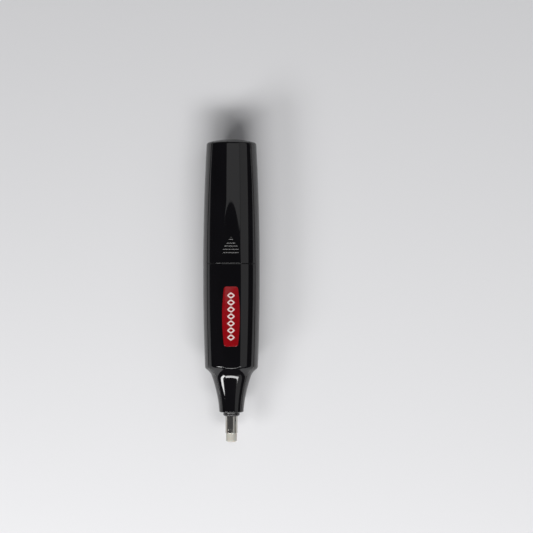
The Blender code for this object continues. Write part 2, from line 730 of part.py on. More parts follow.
def rotor():
    """What spins inside the motor: laminated core, three windings, commutator and shaft."""
    core = prism("rotor_core", pole_outline(), "Y", CORE_LOW_Y, CORE_HIGH_Y, LAMINATION)
    cut(core, rod("core_bore_cutter", SHAFT_R + SHAFT_FIT, CORE_LOW_Y - 0.001, CORE_HIGH_Y + 0.001))
    overhang = 0.0012
    for pole in range(3):
        low = (-0.0021, CORE_LOW_Y - overhang, 0.0025)
        coil = box(f"rotor_winding_{pole + 1}", low, (0.0021, CORE_HIGH_Y + overhang, 0.0043), COPPER)
        rounding = coil.modifiers.new("round", "BEVEL")
        rounding.width = 0.0005
        rounding.segments = 2
        low = (-0.0012, CORE_LOW_Y - 0.0002, 0)
        slot = box(f"winding_slot_{pole}_cutter", low, (0.0012, CORE_HIGH_Y + 0.0002, 0.0080))
        cut(coil, slot)
        for piece in (coil, slot):
            turn_about_drive(piece, math.radians(120 * pole))
    radius, bore, low, high = 0.0019, SHAFT_R + SHAFT_FIT, 0.0006, 0.0044
    ring = [(radius, high), (radius, low), (bore, low), (bore, high)]
    segments = turned("commutator", ring, COPPER, steps=24)
    for number in range(3):
        corner = (-0.0001, low + 0.0003, radius - 0.0005)
        slot = box(f"segment_{number}_cutter", corner, (0.0001, high + 0.001, 0.003))
        cut(segments, turn_about_drive(slot, math.radians(120 * number + 60)))
    rod("motor_shaft", SHAFT_R, -0.0270, MOTOR_REAR_Y + 0.0012, STEEL, segments=20)


# ---------------------------------------------------------------- chuck and refill


def chuck_adapter():
    """The turned piece on the shaft: a hub with a grub screw, and a spigot for the chuck tube."""
    bore, bore_end = SHAFT_R + SHAFT_FIT, -0.0276
    spigot_r, spigot_end = CHUCK_BORE_R - 0.0001, -0.0412
    profile = [
        (0.0040, -0.0215),
        (0.0040, -0.0300),
        (0.0034, -0.0310),
        (0.0034, -0.0340),
        (spigot_r, -0.0340),
        (spigot_r, spigot_end),
        (0, spigot_end),
        (0, bore_end),
        (bore, bore_end),
        (bore, -0.0215),
    ]
    hub = turned("chuck_adapter", profile, BRASS)
    cut(hub, post("grub_hole_cutter", 0.0010, 0.0008, 0.0050, 0, -0.0245))
    post("grub_screw", 0.0009, SHAFT_R + GAP, 0.0038, 0, -0.0245, STEEL, 16)


def chuck_tube():
    """A steel tube on the spigot, slit in four at its mouth so that it springs onto the refill."""
    tube = [
        (CHUCK_R, -0.0343),
        (CHUCK_R, CHUCK_Y + 0.0003),
        (CHUCK_R - 0.0002, CHUCK_Y),
        (CHUCK_BORE_R, CHUCK_Y),
        (CHUCK_BORE_R, -0.0343),
    ]
    body = turned("chuck_tube", tube, STEEL)
    for number, angle in enumerate((math.pi / 4, -math.pi / 4)):
        low = (-0.00025, CHUCK_Y - 0.0010, -0.0040)
        slit = box(f"slit_{number}_cutter", low, (0.00025, CHUCK_Y + 0.0055, 0.0040))
        cut(body, turn_about_drive(slit, angle))


def eraser_refill():
    """A round stick of white vinyl eraser, its rubbing end worn a little round."""
    end_y = TIP_Y + REFILL_LENGTH
    edge = 0.0004
    stick = [(0, end_y), (REFILL_R, end_y), (REFILL_R, TIP_Y + edge), (REFILL_R - edge, TIP_Y), (0, TIP_Y)]
    turned("eraser_refill", stick, VINYL)


# ---------------------------------------------------------------- push switch


def push_button():
    """The button in the back: a ridged pad, a flange that keeps it in, and a plunger under the leaf."""
    pad_z = -FLAT + 0.0002
    outline = stadium(BUTTON_LENGTH, BUTTON_WIDTH, BUTTON_Y)
    pad = prism("push_button", outline, "Z", pad_z, -0.0083, BLACK_SATIN)
    flange = stadium(BUTTON_LENGTH + 0.0014, BUTTON_WIDTH + 0.0014, BUTTON_Y)
    join(pad, prism("button_flange_guide", flange, "Z", -0.00875, -0.00815))
    join(pad, post("plunger_guide", 0.0016, -0.0086, LEAF_Z - 0.00015, 0, BUTTON_Y - 0.0015))
    for number in range(3):
        y = BUTTON_Y + 0.0022 * (number - 1)
        low = (-0.0022, y - 0.0003, -0.0120)
        cut(pad, box(f"button_groove_{number}_cutter", low, (0.0022, y + 0.0003, pad_z + 0.00025)))
    smooth(pad)


def switch():
    """The block that holds both strips, the sprung leaf over the button, and the contact above it."""
    block_end = LEAF_Y + 0.0023
    block = box("switch_block", (-0.0040, LEAF_Y, -0.0089), (0.0040, block_end, -0.0044), NATURAL)
    root = LEAF_Y + 0.0004
    low = (-0.0022, LEAF_Y - 0.001, LEAF_Z - 0.00025)
    cut(block, box("leaf_slot_cutter", low, (0.0022, root + 0.0003, LEAF_Z + STRIP + 0.00025)))
    low = (-0.0022, LEAF_Y - 0.001, STRIP_Z - 0.0002)
    cut(block, box("strip_slot_cutter", low, (0.0022, LEAF_Y + 0.0018, STRIP_Z + STRIP + 0.0002)))
    leaf_low, leaf_high = (-0.0018, -0.0299, LEAF_Z), (0.0018, root, LEAF_Z + STRIP)
    box("switch_leaf", leaf_low, leaf_high, BRONZE, origin=(0, LEAF_Y, LEAF_Z))
    strip_high = (0.0018, LEAF_Y + 0.0014, STRIP_Z + STRIP)
    strip = box("switch_contact", (-0.0018, -0.0302, STRIP_Z), strip_high, BRONZE)
    low = (-0.0008, -0.0299, STRIP_Z - 0.00022)
    join(strip, box("contact_point_guide", low, (0.0008, -0.0289, STRIP_Z + STRIP / 2)))


# ---------------------------------------------------------------- wiring


def wiring():
    """Three covered wires: cell to motor, cell to switch leaf, and switch contact to motor.

    The two long ones pass under the motor's lower flat, beside its ribs.
    """
    red = [(0.0049, 0.0119, 0.0007), (0.0049, 0.0116, 0.0019), (0.0047, 0.0106, 0.0024)]
    red += [(0.0045, 0.0097, 0.0019), (0.0044, 0.0094, 0.0010)]
    wire("red_wire", smooth_route(red), WIRE_R, RED_COVERING)

    x = -0.0026
    white = [(-0.0049, 0.0119, -0.0011), (-0.0046, 0.0114, -0.0034), (-0.0034, 0.0106, -0.0066)]
    white += [(x, 0.0090, -0.0083), (x, 0.0062, WIRE_Z), (x, -0.0050, WIRE_Z), (x, -0.0140, WIRE_Z)]
    white += [(x, -0.0166, WIRE_Z), (x, -0.0177, -0.0079), (-0.0022, -0.0183, LEAF_Z)]
    wire("white_wire", smooth_route(white), WIRE_R, WHITE_COVERING)

    x = -0.0037
    black = [(-0.0044, 0.0094, -0.0010), (-0.0046, 0.0096, -0.0030), (-0.0044, 0.0092, -0.0060)]
    black += [(x, 0.0084, -0.0080), (x, 0.0062, WIRE_Z), (x, -0.0050, WIRE_Z), (x, -0.0140, WIRE_Z)]
    black += [(x, -0.0165, WIRE_Z), (-0.0036, -0.0178, -0.0077), (-0.0032, -0.0179, -0.0063)]
    black += [(-0.0028, -0.0183, STRIP_Z)]
    wire("black_wire", smooth_route(black), WIRE_R, BLACK_COVERING)


rear_casing()
front_casing()
battery_cover()
casing_trim()
casing_screws()
battery_cradle()
contacts()
cell("left", -CELL_X, LEFT_BASE_Y, 1)
cell("right", CELL_X, RIGHT_BASE_Y, -1)
conical_spring("negative_spring", -CELL_X, BAY_LOW_Y + 0.0004, LEFT_BASE_Y - 0.0004)
conical_spring("bridge_spring", CELL_X, BAY_HIGH_Y - 0.0004, RIGHT_BASE_Y + 0.0004)
motor_can()
motor_end_cap()
motor_magnets()
motor_bearings()
motor_brushes()
rotor()
chuck_adapter()
chuck_tube()
eraser_refill()
push_button()
switch()
wiring()
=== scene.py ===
import math

import bmesh
import bpy
import numpy as np
from mathutils import Matrix, Vector


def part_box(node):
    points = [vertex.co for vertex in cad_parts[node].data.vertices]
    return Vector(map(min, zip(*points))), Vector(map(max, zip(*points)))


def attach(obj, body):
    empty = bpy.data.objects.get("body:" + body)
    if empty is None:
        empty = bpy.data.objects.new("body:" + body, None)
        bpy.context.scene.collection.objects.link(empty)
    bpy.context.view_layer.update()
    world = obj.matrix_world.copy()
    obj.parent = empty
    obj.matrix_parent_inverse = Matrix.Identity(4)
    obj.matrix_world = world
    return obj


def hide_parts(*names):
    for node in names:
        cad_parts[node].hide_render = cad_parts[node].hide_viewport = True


# Looks of a battery-operated pen eraser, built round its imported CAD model, in metres. The eraser lies
# on its flat back along Y. Pieces are modelled about the drive axis and lifted onto it as they are made.
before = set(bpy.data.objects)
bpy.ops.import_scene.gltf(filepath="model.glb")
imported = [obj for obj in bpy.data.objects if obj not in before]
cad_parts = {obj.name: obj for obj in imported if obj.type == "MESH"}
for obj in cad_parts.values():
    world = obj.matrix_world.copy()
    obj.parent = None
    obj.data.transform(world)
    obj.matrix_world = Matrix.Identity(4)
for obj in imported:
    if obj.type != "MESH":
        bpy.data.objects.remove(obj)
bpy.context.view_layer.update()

# ---- driving dimensions

casing_low, casing_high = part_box("rear_casing")
_, front_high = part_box("front_casing")
refill_low, refill_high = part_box("eraser_refill")
bush_low, bush_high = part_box("nose_bush")
chuck_low, chuck_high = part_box("chuck_tube")
badge_low, badge_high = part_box("badge_plate")

AXIS_Z = (refill_low.z + refill_high.z) / 2
FLAT = AXIS_Z - casing_low.z
HALF_WIDTH = casing_high.x
HALF_DEPTH = 0.0111
WIDEST_Y = 0.0080
DEEPEST_Y = 0.0050
BARREL_CURVE = 0.45
CROWN_Y = 0.0664
CROWN_EDGE = 0.0012
CROWN_TURN = math.radians(74)
TOP_Y = casing_high.y
NOSE_Y = -0.0549
NOSE_R = 0.0056
RIM_EDGE = 0.0005
RIM_Y = NOSE_Y - RIM_EDGE
NECK_Y = -0.0370
NECK_WIDTH = 0.0096
NECK_DEPTH = 0.0083
NECK_BLEND = 0.0022
SHOULDER_Y = -0.0353
SHOULDER_WIDTH = 0.0121
SHOULDER_DEPTH = 0.0101
SHOULDER_BLEND = 0.0005
NOSE_HOLLOW = 1.6
NOSE_BORE = 0.0039
BORE_END_Y = -0.0504
BORE_TAPER = 0.0042
BODY_RINGS = 1400
RING_POINTS = 481
SEAM_Y = front_high.y + 0.00015
WALL = 0.0011
SEAM_GAP = 0.00014
EDGE = 0.00022
FLAT_BLEND = 0.00008
BY_EDGE = (0, 0.2 * EDGE, 0.55 * EDGE, EDGE, 1.3 * EDGE)

# The parting line's height at its knots, from the nose's rim to the barrel, and how far it is smoothed.
PARTING = [(NOSE_Y, 0.0028), (-0.0500, 0.0036), (-0.0440, 0.0044), (NECK_Y, 0.0052), (-0.0343, 0.0060)]
PARTING_BLEND = 0.0016

# The cover's flap, which reaches down over the closed end.
FLAP_X = 0.0082
FLAP_Y = 0.0649
FLAP_Z = 0.0040

SCREW_SPOTS = [(-0.0086, 0.0101), (0.0086, 0.0101), (-0.0080, -0.0310), (0.0080, -0.0310)]
SCREW_SEAT_Z = -0.0040
CELL_R = 0.0051
CAN_R = 0.00485
CELL_X = 0.00515
CELL_Z = -0.0006
CELL_LENGTH = 0.0435
CELL_NUB = 0.0010
BAY_LOW_Y = 0.0146
BAY_HIGH_Y = 0.0637
TRAY_LOW_Y = 0.0129
TRAY_HIGH_Y = 0.0654
TAB_X = 0.0049
BUTTON_Y = -0.0280

# Points this near are one point, an edge this short is none, and rounding takes at most this share of one.
SAME_PLACE = 6e-7
NO_LENGTH = 1e-7
MOST_OF_EDGE = 0.45


# ---- small helpers


def soft_min(a, b, blend):
    h = np.clip(blend - np.abs(a - b), 0, None) / blend
    return np.minimum(a, b) - h * h * blend / 4


def soft_max(a, b, blend):
    return -soft_min(-a, -b, blend)


def lengths(points):
    steps = np.linalg.norm(np.diff(points, axis=0), axis=1)
    return np.concatenate([[0], np.cumsum(steps)])


def spread(points, count, low_edge=(), high_edge=(), crowd=0.004, short=0.004):
    """Distances along a line of points: crowded where it turns, with a few more by each rounded edge.

    crowd is the length that a turn by one radian counts for, and a line under short has narrower edges.
    """
    along = lengths(points)
    total = along[-1]
    if total < 1e-6:
        shared = bool(low_edge) + bool(high_edge)
        return np.linspace(0, total, count + len(low_edge) + len(high_edge) - shared)
    steps = np.diff(points, axis=0)
    steps /= np.maximum(np.linalg.norm(steps, axis=1), 1e-12)[:, None]
    bend = np.arccos(np.clip((steps[1:] * steps[:-1]).sum(axis=1), -1, 1))
    bend = np.concatenate([[0], bend, [0]])
    weight = along + crowd * np.cumsum(bend)
    share = min(1, total / short)
    low = [share * x for x in low_edge]
    high = [total - share * x for x in reversed(high_edge)]
    first = low[-1] if low else 0
    last = high[0] if high else total
    ends = np.interp([first, last], along, weight)
    middle = np.interp(np.linspace(*ends, count), weight, along)
    inner = middle[(1 if low else 0): (-1 if high else None)]
    return np.concatenate([low, inner, high])


def as_object(name, bm):
    mesh = bpy.data.meshes.new(name)
    bm.to_mesh(mesh)
    bm.free()
    obj = bpy.data.objects.new(name, mesh)
    bpy.context.scene.collection.objects.link(obj)
    return obj


def solid_from(name, points, faces):
    """A solid from points about the drive axis, without the faces that have shrunk to a line."""
    bm = bmesh.new()
    corners = [bm.verts.new((x, y, z + AXIS_Z)) for x, y, z in points]
    for face in faces:
        spots = {tuple(round(c, 8) for c in corners[i].co) for i in face}
        if len(spots) > 2:
            bm.faces.new([corners[i] for i in face])
    bmesh.ops.remove_doubles(bm, verts=bm.verts, dist=SAME_PLACE)
    bmesh.ops.dissolve_degenerate(bm, edges=bm.edges, dist=NO_LENGTH)
    bmesh.ops.recalc_face_normals(bm, faces=bm.faces)
    return as_object(name, bm)


def carve(obj, operation, others):
    """Joins, cuts or keeps obj by the others, one after another, and removes them."""
    for other in others:
        step = obj.modifiers.new(other.name, "BOOLEAN")
        step.operation = operation
        step.object = other
    graph = bpy.context.evaluated_depsgraph_get()
    made = bpy.data.meshes.new_from_object(obj.evaluated_get(graph))
    obj.modifiers.clear()
    obj.data = made
    for other in others:
        bpy.data.objects.remove(other)
    return obj


def finished(obj, body, slot, finish, *nodes, smooth=32):
    """A finished piece: smooth below an angle in degrees, riding on a body, and standing for CAD nodes."""
    obj.data.shade_smooth()
    obj.data.set_sharp_from_angle(angle=math.radians(smooth))
    obj.data.materials.clear()
    obj.data.materials.append(finish)
    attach(obj, body)
    if nodes:
        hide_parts(*nodes)


# ---- solids


def grid_faces(rows, columns, start=0, closed=False):
    faces = []
    for i in range(rows - 1):
        for j in range(columns if closed else columns - 1):
            a = start + i * columns + j
            b = start + i * columns + (j + 1) % columns
            faces.append((a, b, b + columns, a + columns))
    return faces


def rounded(corners, radius, closed=True, steps=4):
    """The corners of an outline, each replaced by a small curve."""
    made = []
    count = len(corners)
    for i, corner in enumerate(corners):
        here = Vector(corner)
        if not closed and i in (0, count - 1):
            made.append(tuple(here))
            continue
        before = Vector(corners[i - 1]) - here
        after = Vector(corners[(i + 1) % count]) - here
        reach = min(radius, before.length * MOST_OF_EDGE, after.length * MOST_OF_EDGE)
        start = here + before.normalized() * reach
        end = here + after.normalized() * reach
        for k in range(steps + 1):
            t = k / steps
            made.append(tuple(start * (1 - t) ** 2 + here * 2 * t * (1 - t) + end * t * t))
    return made


def lathe(name, corners, radius=0.0002, x=0.0, z=0.0, columns=96):
    """A solid turned about a line along Y, from its (radius, y) corners, which may end on the line."""
    closed = corners[0][0] > 0
    outline = rounded(corners, radius, closed)
    if closed:
        outline.append(outline[0])
    angles = np.linspace(0, 2 * math.pi, columns, endpoint=False)
    points = [(x + r * math.cos(a), y, z + r * math.sin(a)) for r, y in outline for a in angles]
    return solid_from(name, points, grid_faces(len(outline), columns, closed=True))


def stacked(name, outline, levels, axis="Z"):
    """A solid of flat rings: outline(inset) gives its points, and each level is (height, inset)."""
    points = []
    for height, inset in levels:
        points += [(a, height, b) if axis == "Y" else (a, b, height) for a, b in outline(inset)]
    columns = len(outline(0))
    faces = grid_faces(len(levels), columns, closed=True)
    last = (len(levels) - 1) * columns
    faces.append(tuple(range(columns)))
    faces.append(tuple(range(last, last + columns)))
    return solid_from(name, points, faces)


def edge_levels(low, high, low_edge, high_edge, steps=4):
    """Levels of a plate from low to high, with a rounded edge at either face."""
    turns = [math.pi / 2 * i / steps for i in range(steps + 1)]
    levels = [(low + low_edge * (1 - math.sin(a)), low_edge * (1 - math.cos(a))) for a in reversed(turns)]
    levels += [(high - high_edge * (1 - math.sin(a)), high_edge * (1 - math.cos(a))) for a in turns]
    return levels


def stadium(length, width, y=0.0, steps=16):
    """The outline of a bar with round ends, long along the second axis, as a function of its inset."""

    def outline(inset):
        radius = width / 2 - inset
        points = []
        for end in (1, -1):
            for i in range(steps + 1):
                angle = math.pi * i / steps
                points.append((end * radius * math.cos(angle),
                               y + end * (length / 2 - width / 2 + radius * math.sin(angle))))
        return points

    return outline


def slab(name, low, high, edge=0.00015):
    """A box with rounded edges, between two corners."""
    bm = bmesh.new()
    bmesh.ops.create_cube(bm, size=1)
    size = [b - a for a, b in zip(low, high)]
    bmesh.ops.scale(bm, vec=size, verts=bm.verts)
    middle = [(a + b) / 2 for a, b in zip(low, high)]
    bmesh.ops.translate(bm, vec=(middle[0], middle[1], middle[2] + AXIS_Z), verts=bm.verts)
    edge = min(edge, MOST_OF_EDGE * min(size))
    bmesh.ops.bevel(bm, geom=bm.edges, offset=edge, segments=2, profile=0.5, affect="EDGES")
    bmesh.ops.recalc_face_normals(bm, faces=bm.faces)
    return as_object(name, bm)


def rod(name, radius, low, high, axis, centre, edge=0.0, columns=64):
    """A cylinder along an axis, at (x, z) along Y or (x, y) along Z."""

    def outline(inset):
        turns = [2 * math.pi * i / columns for i in range(columns)]
        size = radius - inset
        return [(centre[0] + size * math.cos(a), centre[1] + size * math.sin(a)) for a in turns]

    levels = edge_levels(low, high, edge, edge) if edge else [(low, 0), (high, 0)]
    return stacked(name, outline, levels, axis)


def tube(name, points, radius, sides):
    """A round wire along a line of points, with domed ends."""
    points = np.array(points, float)
    ahead = np.gradient(points, axis=0)
    ahead /= np.linalg.norm(ahead, axis=1)[:, None]
    across = np.cross(ahead[0], (0.3, 0.2, 1.0))
    rings = []
    for i, (spot, way) in enumerate(zip(points, ahead)):
        across = across - way * across.dot(way)
        across /= np.linalg.norm(across)
        other = np.cross(way, across)
        caps = [(0, radius)]
        if i == 0:
            caps = [(-radius * 0.9, 0.0001 * radius), (-radius * 0.7, radius * 0.7), (0, radius)]
        if i == len(points) - 1:
            caps = [(0, radius), (radius * 0.7, radius * 0.7), (radius * 0.9, 0.0001 * radius)]
        for shift, size in caps:
            for k in range(sides):
                a = 2 * math.pi * k / sides
                rings.append(spot + way * shift + size * (math.cos(a) * across + math.sin(a) * other))
    rows = len(rings) // sides
    return solid_from(name, rings, grid_faces(rows, sides, closed=True))


def smooth_route(knots, per_span=8):
    """Points on a Catmull-Rom curve through the knots."""
    padded = [knots[0], *knots, knots[-1]]
    route = []
    for a, b, c, d in zip(padded, padded[1:], padded[2:], padded[3:]):
        for i in range(per_span):
            t = i / per_span
            weights = (
                (-t + 2 * t * t - t**3) / 2,
                (2 - 5 * t * t + 3 * t**3) / 2,
                (t + 4 * t * t - 3 * t**3) / 2,
                (-t * t + t**3) / 2,
            )
            route.append([sum(w * p[k] for w, p in zip(weights, (a, b, c, d))) for k in range(3)])
    return [*route, list(knots[-1])]


# ---- the barrel's form


def barrel_width(y):
    return HALF_WIDTH - BARREL_CURVE * (y - WIDEST_Y) ** 2


def barrel_depth(y):
    return HALF_DEPTH - BARREL_CURVE * np.clip(y - DEEPEST_Y, 0, None) ** 2


def half_size(y, barrel, neck, shoulder):
    """The barrel's half size with its shoulder cone and its hollow nose, blended where they meet."""
    share = np.clip((y - NOSE_Y) / (NECK_Y - NOSE_Y), 0, 1.5)
    nose = NOSE_R + (neck - NOSE_R) * share**NOSE_HOLLOW
    cone = neck + (shoulder - neck) * (y - NECK_Y) / (SHOULDER_Y - NECK_Y)
    return soft_min(barrel(y), soft_max(nose, cone, NECK_BLEND), SHOULDER_BLEND)


def half_width(y):
    return half_size(y, barrel_width, NECK_WIDTH, SHOULDER_WIDTH)


def half_depth(y):
    return half_size(y, barrel_depth, NECK_DEPTH, SHOULDER_DEPTH)


def profile():
    """Rings from the nose's rim to the closed end: outer (y, half width, half depth), then inner."""
    rim = np.linspace(math.pi / 2, 0, 9)[:-1]
    size = NOSE_R - RIM_EDGE * (1 - np.cos(rim))
    rings = [NOSE_Y - RIM_EDGE * np.sin(rim), size, size, 0 * rim]
    y = np.linspace(NOSE_Y, CROWN_Y, BODY_RINGS)
    rings = [np.append(a, b) for a, b in zip(rings, (y, half_width(y), half_depth(y), 0 * y))]
    width, depth = half_width(CROWN_Y), half_depth(CROWN_Y)
    turn = np.linspace(0, CROWN_TURN, 40)[1:]
    back = CROWN_EDGE * (1 - np.cos(turn))
    edge = (CROWN_Y + CROWN_EDGE * np.sin(turn), width - back, depth - back, turn)
    rings = [np.append(a, b) for a, b in zip(rings, edge)]
    share = np.linspace(1, 0, 120)[1:]
    start, width, depth = rings[0][-1], rings[1][-1], rings[2][-1]
    rise = TOP_Y - start
    tilt = math.pi / 2 - np.arctan(2 * rise * share / width)
    dome = (start + rise * (1 - share**2), width * share, depth * share, tilt)
    y, width, depth, tilt = [np.append(a, b) for a, b in zip(rings, dome)]
    open_nose = np.clip((y - BORE_END_Y) / BORE_TAPER, 0, 1)
    open_nose = open_nose**2 * (3 - 2 * open_nose)
    inner_width = NOSE_BORE + (width - WALL * np.cos(tilt) - NOSE_BORE) * open_nose
    inner_depth = NOSE_BORE + (depth - WALL * np.cos(tilt) - NOSE_BORE) * open_nose
    inner_y = y - WALL * np.sin(tilt)
    return np.stack([y, width, depth, inner_y, inner_width, inner_depth], axis=1)


PROFILE = profile()


def parting_height(y):
    """The parting line's height: level along the barrel, then falling smoothly with the nose."""
    knots = np.array(PARTING)
    window = np.linspace(-PARTING_BLEND, PARTING_BLEND, 9)
    return float(np.mean([np.interp(y + s, knots[:, 0], knots[:, 1]) for s in window]))


def parting_at(y, side):
    """The parting line's height and the flap's half width and height, for the part on one side of it."""
    gap = side * SEAM_GAP / 2
    return parting_height(y) + gap, FLAP_X - gap, FLAP_Z + gap


def border_angle(y, width, depth, side):
    """The angle at which a ring crosses the parting line: a quarter turn if it lies wholly behind it."""
    level, flap_x, flap_z = parting_at(y, side)
    on_level = math.asin(min(1, level / max(depth, 1e-9)))
    if y < FLAP_Y + side * SEAM_GAP / 2 or width * math.cos(on_level) >= flap_x:
        return on_level
    on_side = math.acos(min(1, flap_x / max(width, 1e-9)))
    if depth * math.sin(on_side) >= flap_z:
        return on_side
    return math.asin(min(1, flap_z / max(depth, 1e-9)))


def border_distance(x, y, z, side):
    """How far points on one ring are from the parting line, seen along the barrel."""
    level, flap_x, flap_z = parting_at(y, side)
    if y < FLAP_Y + side * SEAM_GAP / 2:
        return np.abs(z - level)
    across = np.abs(x)
    past = np.clip(across - flap_x, 0, None)
    above = np.clip(z - level, 0, None) + np.clip(flap_z - z, 0, None)
    on_level = np.hypot(np.clip(flap_x - across, 0, None), z - level)
    return np.minimum(np.minimum(on_level, np.hypot(across - flap_x, above)), np.hypot(past, z - flap_z))


def rounding(distance):
    """How far the surface dips this near to a rounded edge."""
    short = np.clip(EDGE - distance, 0, None)
    return EDGE - np.sqrt(EDGE**2 - short**2)


def ring(width, depth, start, end, flat, columns):
    """Points (x, z) along one ring between two angles, crowded at the borders of its flats."""
    angles = np.linspace(start, end, RING_POINTS)
    x = width * np.cos(angles)
    z = depth * np.sin(angles)
    z = np.sign(z) * soft_min(np.abs(z), flat, FLAT_BLEND)
    line = np.stack([x, z], axis=1)
    places = spread(line, columns, BY_EDGE, BY_EDGE)
    along = lengths(line)
    return np.interp(places, along, x), np.interp(places, along, z)


def flap_rows(along, side):
    """Places of a few more rows: where the flap starts, and where its tip ends on the closed end."""
    start = FLAP_Y + side * SEAM_GAP / 2 + np.array([-5e-6, 5e-6])
    tip = np.interp(-parting_at(TOP_Y, side)[2], -PROFILE[BODY_RINGS:, 2], along[BODY_RINGS:])
    by_tip = tip - np.array([6, 3.5, 2, 1, 0.4, 0.1, -0.1]) * 1e-4
    return np.concatenate([np.interp(start, PROFILE[:, 0], along), by_tip])


def shell(name, side, low_y, high_y, rows, columns, low_edge=False, high_edge=False):
    """A closed shell with rounded edges: side is 1 in front of the parting line and -1 behind it."""
    line = PROFILE[:, (0, 2)]
    along = lengths(line)
    first = np.interp(low_y, PROFILE[:, 0], along)
    last = np.interp(high_y, PROFILE[:, 0], along)
    if side > 0 and high_y >= TOP_Y:
        last = np.interp(-parting_at(TOP_Y, side)[2], -PROFILE[BODY_RINGS:, 2], along[BODY_RINGS:])
    inside = (along > first) & (along < last)
    spots = np.concatenate([[first], along[inside], [last]])
    part = np.stack([np.interp(spots, along, PROFILE[:, k]) for k in (0, 2)], axis=1)
    places = first + spread(part, rows, BY_EDGE if low_edge else (), BY_EDGE if high_edge else ())
    more = flap_rows(along, side)
    places = np.sort(np.append(places, more[(more > first) & (more < last)]))
    outer, inner, dips, opens = [], [], [], []
    for place in places:
        sizes = [np.interp(place, along, column) for column in PROFILE.T]
        y, width, depth, in_y, in_width, in_depth = sizes
        border = border_angle(y, width, depth, side)
        in_border = border_angle(in_y, in_width, in_depth, side)
        in_border = min(in_border, (border + math.pi / 2) / 2)
        opens.append(border < math.pi / 2 - 1e-6)
        for (at_y, half_x, half_z, angle, flat), kept in (
            ((y, width, depth, border, FLAT), outer),
            ((in_y, in_width, in_depth, in_border, FLAT - WALL), inner),
        ):
            span = (angle, math.pi - angle) if side > 0 else (math.pi - angle, 2 * math.pi + angle)
            x, z = ring(half_x, half_z, *span, flat, columns)
            kept.append(np.stack([x, np.full_like(x, at_y), z], axis=1))
        dip = rounding(border_distance(outer[-1][:, 0], y, outer[-1][:, 2], side))
        if low_edge:
            dip += rounding(place - first)
        if high_edge:
            dip += rounding(last - place)
        dips.append(np.minimum(dip, BY_EDGE[-1]))
    outer, inner, dips = np.array(outer), np.array(inner), np.array(dips)
    normal = np.cross(np.gradient(outer, axis=1), np.gradient(outer, axis=0))
    size = np.linalg.norm(normal, axis=2)
    normal /= np.maximum(size, 1e-15)[:, :, None]
    points = np.ptp(outer, axis=1).max(axis=1) < 1e-6
    outer = outer - normal * dips[:, :, None] * np.sign((normal * outer).sum(axis=2))[:, :, None]
    outer[points] = outer[points].mean(axis=1, keepdims=True)
    return shell_mesh(name, outer, inner, opens)


def shell_mesh(name, outer, inner, opens):
    """Closes an outer and an inner grid along the borders that are open."""
    rows, columns = outer.shape[:2]
    points = np.concatenate([outer.reshape(-1, 3), inner.reshape(-1, 3)])
    step = rows * columns
    faces = grid_faces(rows, columns)
    faces += [tuple(reversed([i + step for i in face])) for face in grid_faces(rows, columns)]
    for j in range(columns - 1):
        for row in (0, (rows - 1) * columns):
            faces.append((row + j, row + j + 1, row + j + 1 + step, row + j + step))
    for i in range(rows - 1):
        if opens[i]:
            for j in (0, columns - 1):
                a, b = i * columns + j, (i + 1) * columns + j
                faces.append((a, b, b + step, a + step))
    return solid_from(name, points, faces)


# ---- finishes


def add_node(made, kind, **values):
    node = made.node_tree.nodes.new(kind)
    for name, value in values.items():
        socket = node.inputs.get(name.replace("_", " "))
        if socket is not None:
            socket.default_value = value
        else:
            setattr(node, name, value)
    return node


def connect(made, source, target):
    made.node_tree.links.new(source, target)


def noise(made, scale, stretch=(1, 1, 1), detail=4.0):
    """A noise pattern fixed to the object, its scale per metre, drawn out along an axis of low stretch."""
    place = add_node(made, "ShaderNodeTexCoord")
    mapping = add_node(made, "ShaderNodeMapping", Scale=stretch)
    pattern = add_node(made, "ShaderNodeTexNoise", Scale=scale, Detail=detail, Roughness=0.55)
    connect(made, place.outputs["Object"], mapping.inputs["Vector"])
    connect(made, mapping.outputs["Vector"], pattern.inputs["Vector"])
    return pattern.outputs["Fac"]


def between(made, pattern, low, high, start=0.3, end=0.7):
    """The pattern's middle range turned into values from low to high."""
    node = add_node(made, "ShaderNodeMapRange")
    for socket, value in zip(node.inputs[1:5], (start, end, low, high)):
        socket.default_value = value
    connect(made, pattern, node.inputs["Value"])
    return node.outputs["Result"]


def mixed(made, share, first, second):
    """A colour between two others, each a colour or another node's output."""
    node = add_node(made, "ShaderNodeMix", data_type="RGBA")
    connect(made, share, node.inputs[0])
    for socket, colour in ((node.inputs[6], first), (node.inputs[7], second)):
        if isinstance(colour, tuple):
            socket.default_value = (*colour, 1)
        else:
            connect(made, colour, socket)
    return node.outputs[2]


def relief(made, pattern, depth, under=None):
    node = add_node(made, "ShaderNodeBump", Strength=1.0, Distance=depth)
    connect(made, pattern, node.inputs["Height"])
    if under is not None:
        connect(made, under, node.inputs["Normal"])
    return node.outputs["Normal"]


